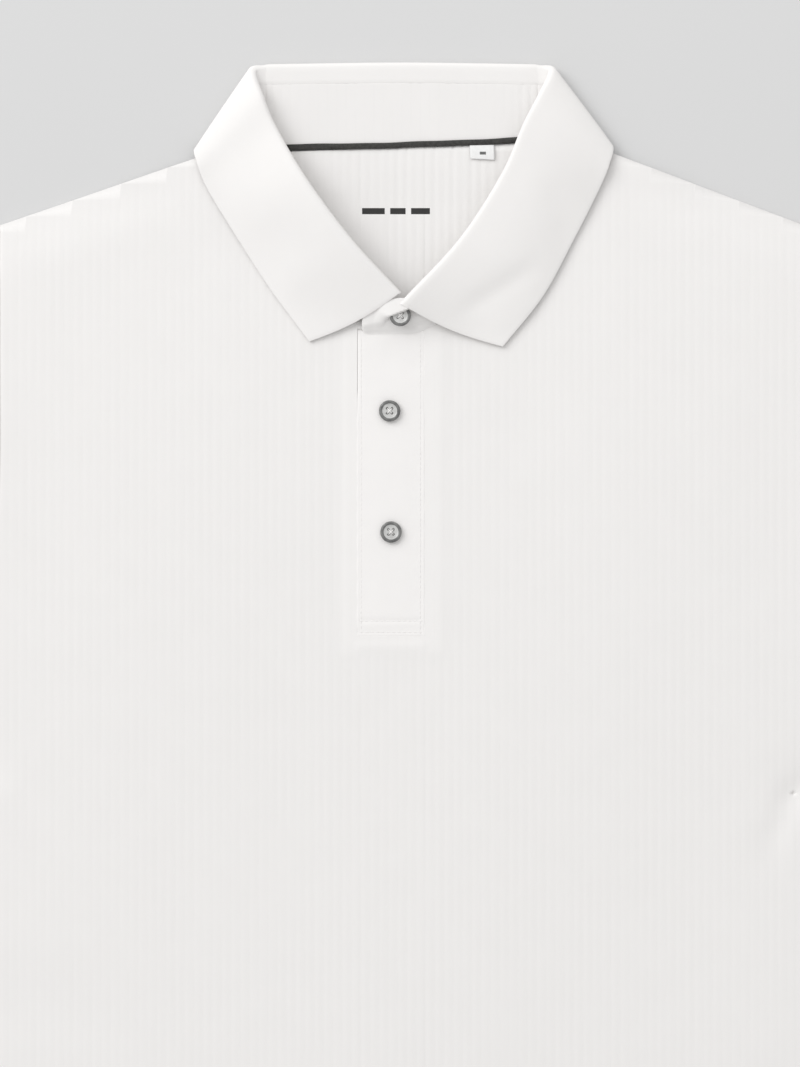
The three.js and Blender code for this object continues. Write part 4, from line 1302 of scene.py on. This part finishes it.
def seam_lines():
    inner = PLACKET_HALF - EDGE_STITCH
    down = np.linspace(-110, PLACKET_FOOT + EDGE_STITCH, 90)
    across = np.linspace(PLACKET_X - inner, PLACKET_X + inner, 30)
    lines = [on_placket(np.full_like(down, PLACKET_X + side * inner), down) for side in (-1, 1)]
    lines += [on_placket(across, np.full_like(across, y)) for y in (PLACKET_FOOT + EDGE_STITCH, BOX_TOP)]
    for row in HEM_STITCH_ROWS:
        x = np.linspace(-248, 248, 200)
        y = np.full_like(x, HEM_Y + row)
        lines += [np.stack([x, y, front_face(x, y) + 0.05], -1), np.stack([x, y, 0 * x], -1)]
        for side in (-1, 1):
            reach = np.linspace(3, SLEEVE_HEM_WIDTH - 3, 90)
            along = np.full_like(reach, SLEEVE_LENGTH - row)
            x_on, y_on = sleeve_place(along, reach, side)
            lines += [np.stack([x_on, y_on, sleeve_top(along, reach, 5 + side) + 0.05], -1),
                      np.stack([x_on, y_on, 0 * x_on], -1)]
    return lines


def strand_lines():
    lines = []
    for node, (x, y) in BUTTONS.items():
        base = button_base(node, x, y)
        for sx, sy in ((1, 1), (1, -1)):
            reach = np.array([1.0, 0.95, 0.6, 0.0, -0.6, -0.95, -1.0]) * HOLE_OUT
            height = np.array([0.6, 1.5, 1.85, 1.95, 1.85, 1.5, 0.6]) + (0.2 if sy > 0 else 0)
            lines.append(np.stack([x + sx * reach, y + sy * reach, base + height], -1))
    return lines


thread = white_thread()
stitch_sizes = {"Pitch": STITCH_PITCH, "Length": STITCH_LENGTH, "Width": STITCH_WIDTH}
stitches = lines_object("stitches", seam_lines())
run_tree(stitches, stitch_tree(thread, stitch_sizes), stitch_sizes)
strands = lines_object("button_strands", strand_lines())
run_tree(strands, strand_tree(thread, {"Width": STRAND_WIDTH}), {"Width": STRAND_WIDTH})
print("stitches:", len(stitches.data.polygons), "faces, button strands:", len(strands.data.polygons), "faces")

# %% [markdown]
# The table is a plain pale board. The light is a wide soft window at the upper left, with an
# even white surround, because the photograph has very soft shadows.

# %% Table, light and camera
TABLE_HALF, TABLE_DROP, TABLE_GREY = 3.0, 0.0004, 0.665


def make_table():
    mesh = bpy.data.meshes.new("table_board")
    corners = [(sx * TABLE_HALF, sy * TABLE_HALF, 0) for sx, sy in ((-1, -1), (1, -1), (1, 1), (-1, 1))]
    mesh.from_pydata(corners, [], [(0, 1, 2, 3)])
    board = bpy.data.objects.new("table_board", mesh)
    board.data.transform(Matrix.Translation((0, 0, -TABLE_DROP)))
    scene.collection.objects.link(board)
    finish, tree, shader = new_finish("pale_board", (TABLE_GREY, TABLE_GREY, TABLE_GREY), 0.9)
    shader.inputs["Specular IOR Level"].default_value = 0.1
    mesh.materials.append(finish)
    return board


def add_window(name, place, aim, size, power):
    lamp = bpy.data.lights.new(name, "AREA")
    lamp.shape, lamp.size, lamp.energy = "SQUARE", size, power
    window = bpy.data.objects.new(name, lamp)
    window.location = place
    window.rotation_euler = (Vector(aim) - Vector(place)).to_track_quat("-Z", "Y").to_euler()
    scene.collection.objects.link(window)


VIEW_CENTRE = (-0.0011, 0.1236)
VIEW_HEIGHT = 0.58685
CAMERA_HEIGHT = 2.2
SHIRT_TOP = 0.006
SENSOR_WIDTH = 36
LIT_POINT = (0, 0.1, 0)
SURROUND_LIGHT = 0.686
make_table()
add_window("window", (-5.2, 3.8, 4.6), LIT_POINT, 4.8, 302)
add_window("upper window", (0, 1.3, 1.0), LIT_POINT, 1.2, 3.9)
world = bpy.data.worlds.new("surround")
world.use_nodes = True
world.node_tree.nodes["Background"].inputs["Color"].default_value = (1, 1, 1, 1)
world.node_tree.nodes["Background"].inputs["Strength"].default_value = SURROUND_LIGHT
scene.world = world
scene.view_settings.view_transform = "Standard"
lens = bpy.data.cameras.new("camera")
lens.sensor_width = SENSOR_WIDTH
lens.lens = SENSOR_WIDTH * (CAMERA_HEIGHT - SHIRT_TOP) / VIEW_HEIGHT
camera = bpy.data.objects.new("camera", lens)
camera.location = (*VIEW_CENTRE, CAMERA_HEIGHT)
scene.collection.objects.link(camera)
scene.camera = camera
print("camera", CAMERA_HEIGHT, "m up, lens", round(lens.lens, 1), "mm")

# %% [markdown]
# At the end each piece is tied to the shirt's one body and takes the place of its solid, and
# every piece of cloth states the size that it was cut to.

# %% Hand over
CUTS = {
    "front_body": (front, (0.508, 0.722), 0.337, "knit"),
    "back_body": (back, (0.508, 0.722), 0.345, "knit"),
    "sleeve_left": (sleeves["sleeve_left"], (0.423, 0.236), 0.078, "knit"),
    "sleeve_right": (sleeves["sleeve_right"], (0.423, 0.236), 0.078, "knit"),
    "collar_leaf": (leaf, (0.46, 0.075), 0.0285, "smooth"),
    "collar_stand": (stand, (0.47, 0.034), 0.0125, "knit"),
    "placket_top": (placket, (0.038, 0.1685), None, "smooth"),
    "placket_under": (under_strip, (0.0552, 0.185), None, "smooth"),
}
TRIMS = {"neck_tape": (tape, "black_tape"), "size_label": (label, "label_cloth")}


def shell_area(piece):
    return sum(polygon.area for polygon in piece.data.polygons) / 2


for node, (piece, slot) in TRIMS.items():
    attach(piece, "root")
    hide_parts(node)
for node, (piece, flat, area, cloth) in CUTS.items():
    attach(piece, "root")
    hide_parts(node)
    print(node, "cut", round(area or flat[0] * flat[1], 5), "shell", round(shell_area(piece), 5))
for piece in (stitches, strands):
    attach(piece, "root")
for node, piece in buttons.items():
    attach(piece, "root")
    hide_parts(node)
